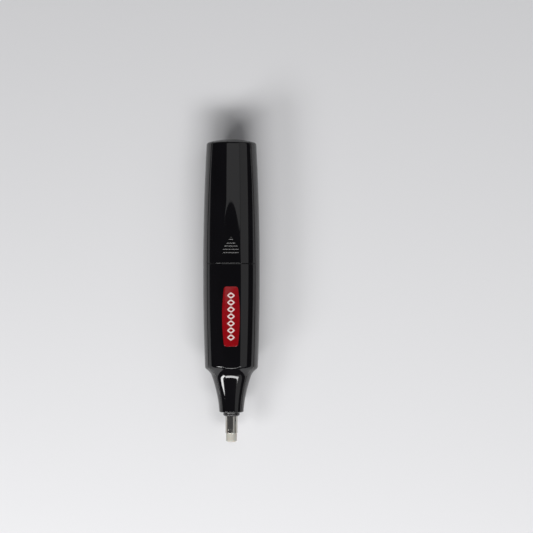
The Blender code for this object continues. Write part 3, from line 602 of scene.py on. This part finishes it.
def material(name, colour, roughness, metallic=0.0, grain=900, stretch=(1, 1, 1), depth=1.5e-6,
             shift=0.25, lustre=0.3, fine=0.0, **sockets):
    """A finish whose tone, gloss and surface vary with a grain.

    shift is how far the tone varies, lustre how far the roughness does, and fine adds a second, sharper
    relief of that depth.
    """
    made = bpy.data.materials.new(name)
    made.use_nodes = True
    shader = made.node_tree.nodes["Principled BSDF"]
    shader.inputs["Metallic"].default_value = metallic
    for socket, value in sockets.items():
        shader.inputs[socket.replace("_", " ")].default_value = value
    pattern = noise(made, grain, stretch)
    broad = noise(made, 90, (1, 0.4, 1), 2.0)
    dark = tuple(c * (1 - shift) for c in colour)
    light = tuple(min(1, c * (1 + shift)) for c in colour)
    connect(made, mixed(made, between(made, broad, 0, 1), dark, light), shader.inputs["Base Color"])
    gloss = between(made, pattern, roughness * (1 - lustre), roughness * (1 + lustre))
    connect(made, gloss, shader.inputs["Roughness"])
    normal = relief(made, pattern, depth)
    if fine:
        normal = relief(made, noise(made, grain * 5, stretch, 3.0), fine, normal)
    connect(made, normal, shader.inputs["Normal"])
    return made


BLACK_GLOSS = material("glossy_black", (0.0022, 0.0020, 0.0026), 0.055, grain=260, depth=2.5e-6,
                       lustre=0.35, fine=2e-7, IOR=1.52)
BLACK_SATIN = material("satin_black", (0.011, 0.010, 0.0105), 0.24, grain=2600, depth=3e-6,
                       lustre=0.15, fine=6e-7, IOR=1.6)
BLACK_SOFT = material("soft_black", (0.012, 0.0115, 0.012), 0.5, grain=3200, depth=6e-6, lustre=0.15)
BADGE_RED = material("badge_red", (0.21, 0.0014, 0.004), 0.15, grain=1400, depth=2e-6, shift=0.12)
BADGE_PRINT = material("badge_print", (0.62, 0.48, 0.46), 0.5, grain=2500, depth=1e-6, shift=0.1)
STEEL = material("turned_steel", (0.50, 0.485, 0.45), 0.19, 1.0, grain=2600, stretch=(1, 12, 1),
                 depth=1.2e-6, shift=0.08, fine=4e-7)
SCREW_STEEL = material("screw_steel", (0.36, 0.36, 0.37), 0.32, 1.0, grain=4200, depth=2e-6, shift=0.1)
NICKEL = material("nickel_strip", (0.62, 0.58, 0.51), 0.26, 1.0, grain=2200, stretch=(0.08, 1, 1),
                  depth=1e-6, shift=0.08)
ZINC = material("zinc_plate", (0.48, 0.49, 0.51), 0.30, 1.0, grain=2400, depth=1.5e-6, shift=0.06,
                lustre=0.15)
CELL_STEEL = material("cell_steel", (0.60, 0.60, 0.61), 0.22, 1.0, grain=1800, stretch=(1, 0.1, 1),
                      depth=1e-6, shift=0.06)
BRASS = material("turned_brass", (0.60, 0.42, 0.17), 0.27, 1.0, grain=2600, stretch=(1, 12, 1),
                 depth=1.2e-6, shift=0.1)
BRONZE = material("bronze", (0.42, 0.26, 0.13), 0.42, 1.0, grain=5200, depth=5e-6, shift=0.15)
COPPER = material("enamelled_copper", (0.62, 0.20, 0.07), 0.28, 1.0, grain=1500, depth=1e-6, shift=0.12,
                  Coat_Weight=0.6)
FERRITE = material("ferrite", (0.045, 0.045, 0.05), 0.62, grain=5200, depth=9e-6, shift=0.2)
LAMINATION = material("laminated_steel", (0.24, 0.24, 0.25), 0.42, 1.0, grain=2000,
                      stretch=(0.02, 1.4, 0.02), depth=1.2e-5, shift=0.15)
NATURAL = material("natural_nylon", (0.60, 0.57, 0.49), 0.46, grain=2400, depth=3e-6, shift=0.06,
                   Subsurface_Weight=0.15, Subsurface_Scale=0.001)
VINYL = material("eraser_vinyl", (0.37, 0.355, 0.315), 0.72, grain=2300, depth=1.6e-5, shift=0.07,
                 lustre=0.12, fine=5e-6, Subsurface_Weight=0.12, Subsurface_Scale=0.0008)
RED_COVERING = material("red_covering", (0.42, 0.012, 0.012), 0.42, grain=1800, depth=3e-6, shift=0.1)
BLACK_COVERING = material("black_covering", (0.014, 0.014, 0.015), 0.42, grain=1800, depth=3e-6)
WHITE_COVERING = material("white_covering", (0.62, 0.61, 0.58), 0.45, grain=1800, depth=3e-6, shift=0.06)
LABEL = material("cell_label", (0.022, 0.13, 0.105), 0.24, grain=500, depth=2e-6, shift=0.1,
                 Coat_Weight=0.5)
LABEL_BAND = material("cell_band", (0.52, 0.36, 0.12), 0.3, 0.7, grain=500, depth=2e-6, shift=0.08)


# ---- casing


def skin_guide(inset, rows=60, columns=72):
    """A coarse closed body a little inside the outer surface, to trim what stands inside the casing."""
    line = PROFILE[:, (0, 2)]
    places = spread(line, rows)
    along = lengths(line)
    angles = np.linspace(0, 2 * math.pi, columns, endpoint=False)
    points = []
    for place in places[:-1]:
        y, width, depth = [np.interp(place, along, PROFILE[:, k]) for k in range(3)]
        width, depth = max(width - inset, 0.0003), max(depth - inset, 0.0003)
        for a in angles:
            z = depth * math.sin(a)
            z = math.copysign(min(abs(z), FLAT - inset), z)
            points.append((width * math.cos(a), y - inset, z))
    count = len(points) // columns
    faces = grid_faces(count, columns, closed=True)
    faces += [tuple(range(columns)), tuple(range((count - 1) * columns, count * columns))]
    return solid_from("skin_guide", points, faces)


def together(name, solids):
    """One object of several closed solids that don't touch."""
    bm = bmesh.new()
    for solid in solids:
        bm.from_mesh(solid.data)
        bpy.data.objects.remove(solid)
    return as_object(name, bm)


def at_screws(name, radius, low, high):
    """A post or a bore about each screw."""
    return [rod(f"{name}_{i}", radius, low, high, "Z", spot) for i, spot in enumerate(SCREW_SPOTS)]


def motor_ribs(low_x, low_z, high_z):
    """Two ribs that hold the motor's can."""
    return [slab(f"rib_{i}", (low_x, y - 0.0006, low_z), (0.0050, y + 0.0006, high_z))
            for i, y in enumerate((-0.0120, 0.0010))]


def rear_casing():
    shelled = shell("rear_shell", -1, RIM_Y, TOP_Y, 150, 96)
    inside = at_screws("post", 0.00235, -FLAT + 0.0004, 0.0010) + motor_ribs(-0.0015, -0.0100, -0.0079)
    for side in (-1, 1):
        near, far = sorted((side * 0.00735, side * 0.013))
        inside.append(slab(f"ledge_{side}", (near, SEAM_Y + 0.0012, 0.0053), (far, 0.0645, 0.00585)))
    inside = carve(together("rear_inside", inside), "INTERSECT", [skin_guide(0.0003)])
    carve(shelled, "UNION", [inside])
    heads = at_screws("head", 0.00175, -0.0120, SCREW_SEAT_Z)
    carve(shelled, "DIFFERENCE", [together("heads", heads)])
    holes = at_screws("hole", 0.00105, -0.0120, 0.0020)
    slot = stacked("slot", stadium(0.0127, 0.0082, BUTTON_Y), [(-0.0120, 0), (-0.0085, 0)])
    carve(shelled, "DIFFERENCE", [together("holes", [*holes, slot])])
    finished(shelled, "casing", "black_satin", BLACK_SATIN, "rear_casing")


def front_casing():
    shelled = shell("front_shell", 1, RIM_Y, SEAM_Y - SEAM_GAP / 2, 120, 72, high_edge=True)
    inside = at_screws("boss", 0.0019, 0.0013, 0.0098) + motor_ribs(-0.0050, 0.0080, 0.0098)
    inside = carve(together("front_inside", inside), "INTERSECT", [skin_guide(0.0014)])
    carve(shelled, "UNION", [inside])
    pilots = at_screws("pilot", 0.00095, 0, 0.0061)
    seat = stacked("seat", badge_outline(-0.0001), [(FLAT - 0.0005, 0), (FLAT + 0.0010, 0)])
    carve(shelled, "DIFFERENCE", [together("pilots", [*pilots, seat])])
    finished(shelled, "casing", "black_gloss", BLACK_GLOSS, "front_casing")


ARROW_BARS = [(0.0217, 0.0020), (0.0204, 0.0030), (0.0189, 0.0036), (0.0174, 0.0036)]


def battery_cover():
    shelled = shell("battery_cover_shell", 1, SEAM_Y + SEAM_GAP / 2, TOP_Y, 110, 72, low_edge=True)
    inside = []
    for side in (-1, 1):
        near, far = sorted((side * 0.0066, side * 0.00705))
        web = slab(f"web_{side}", (near, 0.0165, 0.0045), (far, 0.0590, 0.0100), 0.0001)
        near, far = sorted((side * 0.0066, side * 0.0079))
        carve(web, "UNION", [slab(f"toe_{side}", (near, 0.0165, 0.00445), (far, 0.0590, 0.0050), 0.0001)])
        inside.append(web)
    tongue = slab("tongue", (-0.0045, SEAM_Y - 0.0060, 0.0080), (0.0045, SEAM_Y + 0.0030, 0.0089))
    neck = slab("tongue_web", (-0.0045, SEAM_Y + 0.0008, 0.0085), (0.0045, SEAM_Y + 0.0030, 0.0099), 0.0001)
    inside.append(carve(tongue, "UNION", [neck]))
    inside = carve(together("cover_inside", inside), "INTERSECT", [skin_guide(0.0003)])
    carve(shelled, "UNION", [inside])
    crest = [(FLAT - 0.0004, 0), (FLAT + 0.0001, 0), (FLAT + 0.00021, 0.00004), (FLAT + 0.00027, 0.00013),
             (FLAT + 0.0003, 0.00024)]
    bars = [stacked(f"bar_{i}", stadium_across(2 * half, 0.0007, y), crest)
            for i, (y, half) in enumerate(ARROW_BARS)]
    head = stacked("arrow_head", arrow_head, crest)
    finished(together("cover_arrow", [*bars, head]), "battery_cover", "black_gloss", BLACK_SATIN)
    finished(shelled, "battery_cover", "black_gloss", BLACK_GLOSS, "battery_cover")


def stadium_across(length, width, y):
    """A bar with round ends along X."""
    along_y = stadium(length, width)
    return lambda inset: [(b, y - a) for a, b in along_y(inset)]


def arrow_head(inset):
    """The small triangle over the bars, its corners rounded."""
    size = 1 - inset / 0.0007
    low, high = 0.0230, 0.0248
    middle = low + (high - low) * 0.36
    corners = [(-0.0012, low), (0.0012, low), (0, high)]
    return [(x * size, middle + (y - middle) * size) for x, y in rounded(corners, 0.0002)]


def badge_outline(extra=0.0):
    """The badge: bowed sides, square ends with round corners, and the same smaller by its inset."""
    length = badge_high.y - badge_low.y
    middle = (badge_high.y + badge_low.y) / 2
    waist, end, corner = badge_high.x - badge_low.x, 0.0062, 0.0013

    def outline(inset):
        shrink = inset + extra
        reach = length / 2 - shrink
        turn = corner - shrink * 0.6

        def half(y):
            return waist / 2 - (waist - end) / 2 * (y / reach) ** 2 - shrink

        side = [(reach - turn) * i / 24 for i in range(-24, 25)]
        tip = half(reach - turn)
        turns = [math.pi / 2 * i / 8 for i in range(1, 9)]
        upper = [(tip - turn + turn * math.cos(a), reach - turn + turn * math.sin(a)) for a in turns]
        lower = [(x, -y) for x, y in reversed(upper)]
        right = [*lower, *[(half(y), y) for y in side], *upper]
        left = [(-x, y) for x, y in reversed(right)]
        return [(x, y + middle) for x, y in right + left]

    return outline


def badge():
    """A red plate with a row of printed diamonds."""
    levels = edge_levels(FLAT - 0.0004, FLAT + 0.00005, 0.00005, 0.00012)
    plate = stacked("badge_plate_red", badge_outline(), levels)
    finished(plate, "casing", "badge_red", BADGE_RED, "badge_plate")
    marks = []
    pitch, count = 0.00315, 7
    middle = (badge_high.y + badge_low.y) / 2
    printed = [(FLAT - 0.00002, 0), (FLAT + 0.00008, 0), (FLAT + 0.0001, 0.00002)]
    through = [(FLAT - 0.001, 0), (FLAT + 0.001, 0)]
    for i in range(count):
        y = middle + pitch * (i - (count - 1) / 2)
        mark = stacked(f"mark_{i}", diamond(0.00172, 0.00140, y), printed)
        hole = stacked(f"mark_hole_{i}", diamond(0.00096, 0.00070, y), through)
        marks.append(carve(mark, "DIFFERENCE", [hole]))
    finished(together("badge_motif", marks), "casing", "badge_red", BADGE_PRINT)


def diamond(half_x, half_y, y, count=40, power=1.25):
    """A diamond with soft corners."""

    def outline(inset):
        points = []
        for i in range(count):
            a = 2 * math.pi * i / count
            c, s = math.cos(a), math.sin(a)
            size = (abs(c) ** power + abs(s) ** power) ** (-1 / power)
            points.append(((half_x - inset) * size * c, y + (half_y - inset) * size * s))
        return points

    return outline


def nose_bush():
    """A flanged ring in the nose, close round the chuck."""
    bore = chuck_high.x + 0.0001
    sleeve = NOSE_BORE - 0.00012
    flange = bush_high.x
    corners = [(flange, bush_high.y), (flange, bush_high.y - 0.0008), (sleeve, bush_high.y - 0.0008),
               (sleeve, NOSE_Y - 0.0008), (sleeve - 0.0001, NOSE_Y - 0.0010), (sleeve, NOSE_Y - 0.0012),
               (sleeve, bush_low.y + 0.0005), (sleeve - 0.0006, bush_low.y), (bore + 0.0003, bush_low.y),
               (bore, bush_low.y + 0.0003), (bore, bush_high.y)]
    bush = lathe("nose_bush_ring", corners, 0.00025, columns=112)
    finished(bush, "casing", "black_satin", BLACK_SATIN, "nose_bush")


# ---- fasteners and button


def cross_recess(spot, depth_z):
    """Cutters for a cross-headed driver, seen from below."""
    x, y = spot
    long, short = 0.00095, 0.00022
    arms = [slab(name, (x - a, y - b, depth_z - 0.001), (x + a, y + b, depth_z), 0.0001)
            for name, a, b in (("recess_x", long, short), ("recess_y", short, long))]
    return carve(arms[0], "UNION", arms[1:])


def case_screw(number, spot):
    """A self-tapping screw pointing up: a domed head, a cross recess and a threaded, pointed shank."""
    seat = SCREW_SEAT_Z
    head = [(0.0015, seat - 0.0003), (0.0015, seat - 0.0008), (0.0011, seat - 0.0014), (0, seat - 0.0016)]
    root, crest, pitch, top = 0.00062, 0.00085, 0.0007, 0.0058
    run_in, taper = 0.0006, 0.0014
    per_turn, columns = 10, 28
    start = seat + 0.0008
    rows = int((top - start) / pitch * per_turn)
    profile_rows = [(r, z, 0) for r, z in reversed(rounded(head, 0.0004, False))]
    profile_rows += [(0.00066, seat - 0.0003, 0), (0.00066, start, 0)]
    profile_rows += [(root, start + pitch * i / per_turn, 1) for i in range(1, rows)]
    profile_rows.append((0, top, 0))
    points = []
    for r, z, threaded in profile_rows:
        for k in range(columns):
            a = 2 * math.pi * k / columns
            size = r
            if threaded:
                phase = (z - start) / pitch - k / columns
                rise = max(0, 1 - abs((phase % 1) * 2 - 1) * 2.2)
                size += (crest - root) * rise * min(1, (z - start) / run_in)
                size *= 0.45 + 0.55 * min(1, (top - z) / taper)
            points.append((spot[0] + size * math.cos(a), spot[1] + size * math.sin(a), z))
    faces = grid_faces(len(profile_rows), columns, closed=True)
    screw = solid_from(f"casing_screw_{number}", points, faces)
    carve(screw, "DIFFERENCE", [cross_recess(spot, seat - 0.0009)])
    finished(screw, "casing", "polished_steel", SCREW_STEEL, f"case_screw_{number}", smooth=40)


def push_button():
    """A grooved pad with a flange that keeps it in, and a plunger that presses the switch's leaf."""
    low, high = -FLAT + 0.0002, -0.0083
    levels = edge_levels(low, high, 0.0004, 0.00002)
    pad = stacked("button_pad", stadium(0.0120, 0.0075, BUTTON_Y), levels)
    levels = edge_levels(-0.00875, -0.00815, 0.0001, 0.0001)
    flange = stacked("flange", stadium(0.0134, 0.0089, BUTTON_Y), levels)
    plunger = rod("plunger", 0.0016, -0.0086, -0.0071, "Z", (0, BUTTON_Y - 0.0015), 0.0004)
    carve(pad, "UNION", [flange, plunger])
    grooves = [stacked(f"groove_{i}", stadium_across(0.0050, 0.0008, BUTTON_Y + 0.0018 * (i - 2)),
                       [(low - 0.001, 0), (low + 0.0002, 0), (low + 0.0003, 0.0001)]) for i in range(5)]
    carve(pad, "DIFFERENCE", [together("grooves", grooves)])
    finished(pad, "push_button", "black_satin", BLACK_SOFT, "push_button")


# ---- chuck and refill


def chuck_tube():
    """A steel tube with a fine groove near its mouth, slit in four so that it springs onto the refill."""
    outer, bore = chuck_high.x, 0.00252
    low, high = chuck_low.y, chuck_high.y
    waist = outer - 0.00003
    corners = [(outer, high), (outer, low + 0.0018), (waist, low + 0.0016), (waist, low + 0.0012),
               (outer, low + 0.0010), (outer, low), (bore, low), (bore, high)]
    made = lathe("chuck_sleeve", corners, 0.00013, columns=128)
    onto_axis = Matrix.Translation((0, 0, AXIS_Z))
    off_axis = Matrix.Translation((0, 0, -AXIS_Z))
    half, reach, depth = 0.00025, 0.0040, 0.0055
    for i, angle in enumerate((math.pi / 4, -math.pi / 4)):
        slit = slab(f"slit_{i}", (-half, low - 0.0010, -reach), (half, low + depth, reach), 0.00012)
        slit.data.transform(onto_axis @ Matrix.Rotation(angle, 4, "Y") @ off_axis)
        carve(made, "DIFFERENCE", [slit])
    finished(made, "rotor", "polished_steel", STEEL, "chuck_tube")


def eraser_refill():
    """A round stick, the edge of its rubbing end rounded by wear."""
    radius, low, high = refill_high.x, refill_low.y, refill_high.y
    worn = [(radius, low + 0.0006), (radius - 0.0004, low + 0.00012), (0, low)]
    stick = lathe("refill_stick", [(0, high), (radius, high), *worn], 0.00045)
    finished(stick, "refill", "white_vinyl", VINYL, "eraser_refill", smooth=50)


def chuck_adapter():
    """A hub on the motor's shaft, held by a grub screw, with a spigot that carries the chuck."""
    low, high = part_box("chuck_adapter")
    shaft, body, waist, neck, spigot = 0.0011, 0.0040, 0.0038, 0.0034, 0.00242
    corners = [(0, -0.0276), (shaft, -0.0276), (shaft, high.y), (body, high.y), (body, -0.0232),
               (waist, -0.0234), (waist, -0.0256), (body, -0.0258), (body, -0.0300), (neck, -0.0310),
               (neck, -0.0340), (spigot, -0.0340), (spigot, low.y), (0, low.y)]
    hub = lathe("chuck_hub", corners, 0.00015)
    carve(hub, "DIFFERENCE", [rod("grub_hole", 0.0010, 0.0008, 0.0050, "Z", (0, -0.0245), columns=32)])
    finished(hub, "rotor", "brass", BRASS, "chuck_adapter")


# ---- battery bay


def cell(label, x, base_y, direction):
    """A cell: nickel-plated can with a crimped base and a nub, in a shrunk two-tone label."""
    top = CELL_LENGTH
    can = [(0, top + CELL_NUB), (0.0018, top + CELL_NUB), (0.0019, top + 0.0001), (0.0030, top - 0.0001),
           (0.0034, top - 0.0004), (CAN_R - 0.0005, top - 0.0002), (CAN_R, top - 0.0008), (CAN_R, 0.0006),
           (CAN_R - 0.0006, 0), (0.0026, 0), (0.0023, 0.0002), (0, 0.0002)]
    made = lathe(f"{label}_cell_body", [(r, base_y + direction * y) for r, y in can], 0.0002, x, CELL_Z, 80)
    finished(made, "casing", "cell_can", CELL_STEEL, f"{label}_cell_can")
    bore, edge = CAN_R + 0.00004, 0.0006
    split = top - 0.0115
    shrunk_r = CELL_R - 0.00025
    for name, low, low_r, high, high_r, finish in (
        ("label", edge, shrunk_r, split, CELL_R, LABEL),
        ("band", split, CELL_R, top - edge, shrunk_r, LABEL_BAND),
    ):
        sleeve = [(high_r, high), (CELL_R, high - 0.0004), (CELL_R, low + 0.0004), (low_r, low),
                  (bore, low), (bore, high)]
        corners = [(r, base_y + direction * y) for r, y in sleeve]
        wrap = lathe(f"{label}_cell_{name}", corners, 0.00012, x, CELL_Z)
        nodes = [f"{label}_cell_jacket"] if name == "label" else []
        finished(wrap, "casing", "cell_jacket", finish, *nodes)


def cell_signs():
    """A plus printed near each cell's positive end."""
    width, length = 0.0006, 0.0034
    for label, x, y in (("left", -CELL_X, BAY_HIGH_Y - 0.0058), ("right", CELL_X, BAY_LOW_Y + 0.0058)):
        upright = curved_mark(f"{label}_plus", x, y, width, length)
        carve(upright, "UNION", [curved_mark(f"{label}_plus_bar", x, y, length, width)])
        finished(upright, "casing", "cell_jacket", BLACK_COVERING)


def curved_mark(name, x, y, across, along, columns=10):
    """A thin printed patch on a cell's top."""
    points = []
    for level in (CELL_R - 0.00003, CELL_R + 0.00002):
        for i in range(columns + 1):
            a = (i / columns - 0.5) * across / CELL_R
            for side in (-1, 1):
                points.append((x + level * math.sin(a), y + side * along / 2,
                               CELL_Z + level * math.cos(a)))
    step = 2 * (columns + 1)
    faces = grid_faces(columns + 1, 2) + grid_faces(columns + 1, 2, step)
    rims = [(a, a + 2) for j in (0, 1) for a in range(j, 2 * columns, 2)]
    rims += [(a, a + 1) for a in (0, 2 * columns)]
    faces += [(a, b, b + step, a + step) for a, b in rims]
    return solid_from(name, points, faces)


def battery_spring(name, node, x, plate_y, cell_y):
    """A conical spring with closed end turns."""
    turns, closed_turn, per_turn, wide_r, narrow_r = 4.5, 0.7, 28, 0.0035, 0.0019
    count = int(turns * per_turn)
    points = []
    for i in range(count + 1):
        share = i / count
        lift = min(1, max(0, (share * turns - closed_turn) / (turns - 2 * closed_turn)))
        radius = wide_r + (narrow_r - wide_r) * lift
        angle = 2 * math.pi * turns * share
        y = plate_y + (cell_y - plate_y) * lift
        points.append((x + radius * math.cos(angle), y, CELL_Z + radius * math.sin(angle)))
    made = tube(name, points, 0.00028, 10)
    finished(made, "casing", "nickel_strip", NICKEL, node, smooth=60)


def contacts():
    """Two plates with solder tabs, the positive one with a pip, and a plate that joins the two cells."""
    pip = [(0, 0.00025), (0.0009, 0.0002), (0.0016, -0.0001), (0, -0.0001)]
    for side, label in ((-1, "negative"), (1, "positive")):
        middle, tab_x = side * CELL_X, side * TAB_X
        plate = slab(f"{label}_plate", (middle - 0.0030, BAY_LOW_Y - 0.0004, -0.0045),
                     (middle + 0.0030, BAY_LOW_Y, 0.0034))
        joined = [slab(f"{label}_tab", (tab_x - 0.0009, 0.0114, -0.0004),
                       (tab_x + 0.0009, BAY_LOW_Y - 0.0002, 0), 0.00008)]
        if side > 0:
            corners = [(r, BAY_LOW_Y + y) for r, y in pip]
            joined.append(lathe("pip", corners, 0.0002, middle, CELL_Z, 48))
        carve(plate, "UNION", joined)
        finished(plate, "casing", "nickel_strip", NICKEL, f"{label}_contact")
    low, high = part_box("bridge_contact")
    bridge = slab("bridge_plate", (low.x, low.y, low.z - AXIS_Z), (high.x, high.y, high.z - AXIS_Z))
    finished(bridge, "casing", "nickel_strip", NICKEL, "bridge_contact")


def battery_cradle():
    """A tray with a trough for each cell, end walls, and slots for the contacts."""
    wall_low, wall_high = BAY_LOW_Y - 0.0005, BAY_HIGH_Y + 0.0006
    top = CELL_Z + 0.0008
    tray = slab("battery_tray", (-0.0125, TRAY_LOW_Y, -0.0089), (0.0125, TRAY_HIGH_Y, top), 0.0003)
    for low, high in ((TRAY_LOW_Y, wall_low), (wall_high, TRAY_HIGH_Y)):
        carve(tray, "UNION", [slab("end_wall", (-0.0112, low, -0.0060), (0.0112, high, 0.0037), 0.0003)])
    carve(tray, "INTERSECT", [skin_guide(0.0014)])
    cutters = [rod(f"trough_{side}", CELL_R + 0.0002, wall_low, wall_high, "Y", (side * CELL_X, CELL_Z),
                   columns=96) for side in (-1, 1)]
    cutters += [slab("tab_slot", (side * TAB_X - 0.0011, 0.0120, -0.0006),
                     (side * TAB_X + 0.0011, 0.0150, 0.0002), 0.0001) for side in (-1, 1)]
    low_slot = (0.0084, wall_low, BAY_LOW_Y + 0.0001)
    high_slot = (0.0088, BAY_HIGH_Y - 0.0001, wall_high)
    cutters += [slab("plate_slot", (-reach, low, -0.0048), (reach, high, 0.0060), 0.00005)
                for reach, low, high in (low_slot, high_slot)]
    for cutter in cutters:
        carve(tray, "DIFFERENCE", [cutter])
    finished(tray, "casing", "black_satin", BLACK_SOFT, "battery_cradle")


# ---- the rest of the inside


def wires():
    """Three covered wires along the routes that the CAD gives them."""
    red = [(0.0049, 0.0119, 0.0007), (0.0049, 0.0116, 0.0019), (0.0047, 0.0106, 0.0024),
           (0.0045, 0.0097, 0.0019), (0.0044, 0.0094, 0.0010)]
    x, low = -0.0026, -0.0085
    white = [(-0.0049, 0.0119, -0.0011), (-0.0046, 0.0114, -0.0034), (-0.0034, 0.0106, -0.0066),
             (x, 0.0090, -0.0083), (x, 0.0062, low), (x, -0.0050, low), (x, -0.0140, low),
             (x, -0.0166, low), (x, -0.0177, -0.0079), (-0.0022, -0.0183, -0.0069)]
    x = -0.0037
    black = [(-0.0044, 0.0094, -0.0010), (-0.0046, 0.0096, -0.0030), (-0.0044, 0.0092, -0.0060),
             (x, 0.0084, -0.0080), (x, 0.0062, low), (x, -0.0050, low), (x, -0.0140, low),
             (x, -0.0165, low), (-0.0036, -0.0178, -0.0077), (-0.0032, -0.0179, -0.0063),
             (-0.0028, -0.0183, -0.0054)]
    for label, route, finish in (
        ("red", red, RED_COVERING),
        ("white", white, WHITE_COVERING),
        ("black", black, BLACK_COVERING),
    ):
        made = tube(f"{label}_lead", smooth_route(route), 0.00044, 14)
        finished(made, "casing", f"{label}_covering", finish, f"{label}_wire", smooth=60)


def softened(node, body, slot, finish, edge):
    """A CAD node again, with its sharp edges rounded and its round faces shaded smooth."""
    bm = bmesh.new()
    bm.from_mesh(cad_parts[node].data)
    bmesh.ops.remove_doubles(bm, verts=bm.verts, dist=2e-6)
    bmesh.ops.dissolve_limit(bm, angle_limit=math.radians(1), verts=bm.verts, edges=bm.edges)
    sharp = [e for e in bm.edges if e.is_manifold and e.calc_face_angle(0) > math.radians(30)]
    bmesh.ops.bevel(bm, geom=sharp, offset=edge, segments=2, profile=0.5, affect="EDGES",
                    clamp_overlap=True)
    bmesh.ops.recalc_face_normals(bm, faces=bm.faces)
    finished(as_object(f"{node}_piece", bm), body, slot, finish, node)


FINE_EDGE = 0.00006
PLAIN_EDGE = 0.0001

# The CAD nodes that keep their shape inside: body, slot, finish, rounded edge and names.
INSIDE = [
    ("casing", "zinc_can", ZINC, PLAIN_EDGE, ["motor_can"]),
    ("casing", "natural_plastic", NATURAL, PLAIN_EDGE, ["motor_end_cap", "switch_block"]),
    ("casing", "ferrite", FERRITE, PLAIN_EDGE, ["left_magnet", "right_magnet"]),
    ("casing", "bronze", BRONZE, PLAIN_EDGE, ["front_bearing", "rear_bearing", "switch_contact"]),
    ("casing", "copper", COPPER, FINE_EDGE, ["left_brush", "right_brush"]),
    ("casing", "brass", BRASS, PLAIN_EDGE, ["left_terminal", "right_terminal"]),
    ("switch_leaf", "bronze", BRONZE, PLAIN_EDGE, ["switch_leaf"]),
    ("rotor", "polished_steel", STEEL, PLAIN_EDGE, ["motor_shaft", "grub_screw"]),
    ("rotor", "lamination", LAMINATION, PLAIN_EDGE, ["rotor_core"]),
    ("rotor", "copper", COPPER, PLAIN_EDGE, ["commutator", "rotor_winding_1", "rotor_winding_2",
                                             "rotor_winding_3"]),
]


rear_casing()
front_casing()
battery_cover()
badge()
nose_bush()
for index, screw_spot in enumerate(SCREW_SPOTS, 1):
    case_screw(index, screw_spot)
push_button()
chuck_tube()
eraser_refill()
chuck_adapter()
cell("left", -CELL_X, BAY_HIGH_Y - 0.0003 - CELL_NUB - CELL_LENGTH, 1)
cell("right", CELL_X, BAY_LOW_Y + 0.0003 + CELL_NUB + CELL_LENGTH, -1)
cell_signs()
battery_spring("negative_coil", "negative_spring", -CELL_X, BAY_LOW_Y + 0.0003, 0.0186)
battery_spring("bridge_coil", "bridge_spring", CELL_X, BAY_HIGH_Y - 0.0003, 0.0597)
contacts()
battery_cradle()
wires()
for body, slot, finish, edge, nodes in INSIDE:
    for node in nodes:
        softened(node, body, slot, finish, edge)


# ---- stage, light and camera


def area_light(name, place, size, radiance, aim=(0, 0, AXIS_Z)):
    """A soft light that faces a point, its strength given as radiance so that its size can change."""
    data = bpy.data.lights.new(name, "AREA")
    data.shape = "RECTANGLE"
    data.size, data.size_y = size
    data.energy = radiance * math.pi * size[0] * size[1]
    lamp = bpy.data.objects.new(name, data)
    bpy.context.scene.collection.objects.link(lamp)
    lamp.location = place
    ahead = Vector(aim) - Vector(place)
    lamp.rotation_euler = ahead.to_track_quat("-Z", "Y").to_euler()
    lamp.visible_camera = False


def stage():
    """A pale floor, and a surround that is pale to the camera and dark to everything else."""
    bm = bmesh.new()
    bmesh.ops.create_grid(bm, x_segments=1, y_segments=1, size=6)
    floor = as_object("floor", bm)
    paper = bpy.data.materials.new("paper")
    paper.use_nodes = True
    shader = paper.node_tree.nodes["Principled BSDF"]
    shader.inputs["Base Color"].default_value = (0.62, 0.62, 0.63, 1)
    shader.inputs["Roughness"].default_value = 0.8
    floor.data.materials.append(paper)
    world = bpy.data.worlds.new("studio")
    bpy.context.scene.world = world
    world.use_nodes = True
    seen = add_node(world, "ShaderNodeLightPath").outputs["Is Camera Ray"]
    colour = mixed(world, seen, (0.05, 0.05, 0.055), (0.72, 0.72, 0.73))
    connect(world, colour, world.node_tree.nodes["Background"].inputs["Color"])


def camera():
    """Straight down on the front, with the eraser left of the middle, from far enough to look flat."""
    data = bpy.data.cameras.new("camera")
    data.sensor_width = 36
    height, width_seen = 0.75, 0.2434
    data.lens = data.sensor_width * height / width_seen
    data.clip_start = 0.01
    view = bpy.data.objects.new("camera", data)
    bpy.context.scene.collection.objects.link(view)
    view.location = (0.0160, 0.0110, AXIS_Z + height)
    bpy.context.scene.camera = view


bpy.context.scene.view_settings.view_transform = "Standard"
stage()
camera()
area_light("key", (-0.66, -0.62, 0.50), (0.50, 0.22), 17)
area_light("front_strip", (0.06, -0.68, 0.71), (1.1, 0.25), 13)
area_light("right_strip", (0.60, 0.0, 0.53), (2.2, 0.47), 0.5)
area_light("top_card", (0.11, 0.31, 0.74), (0.68, 0.46), 0.6, (0.11, 0.31, 0))
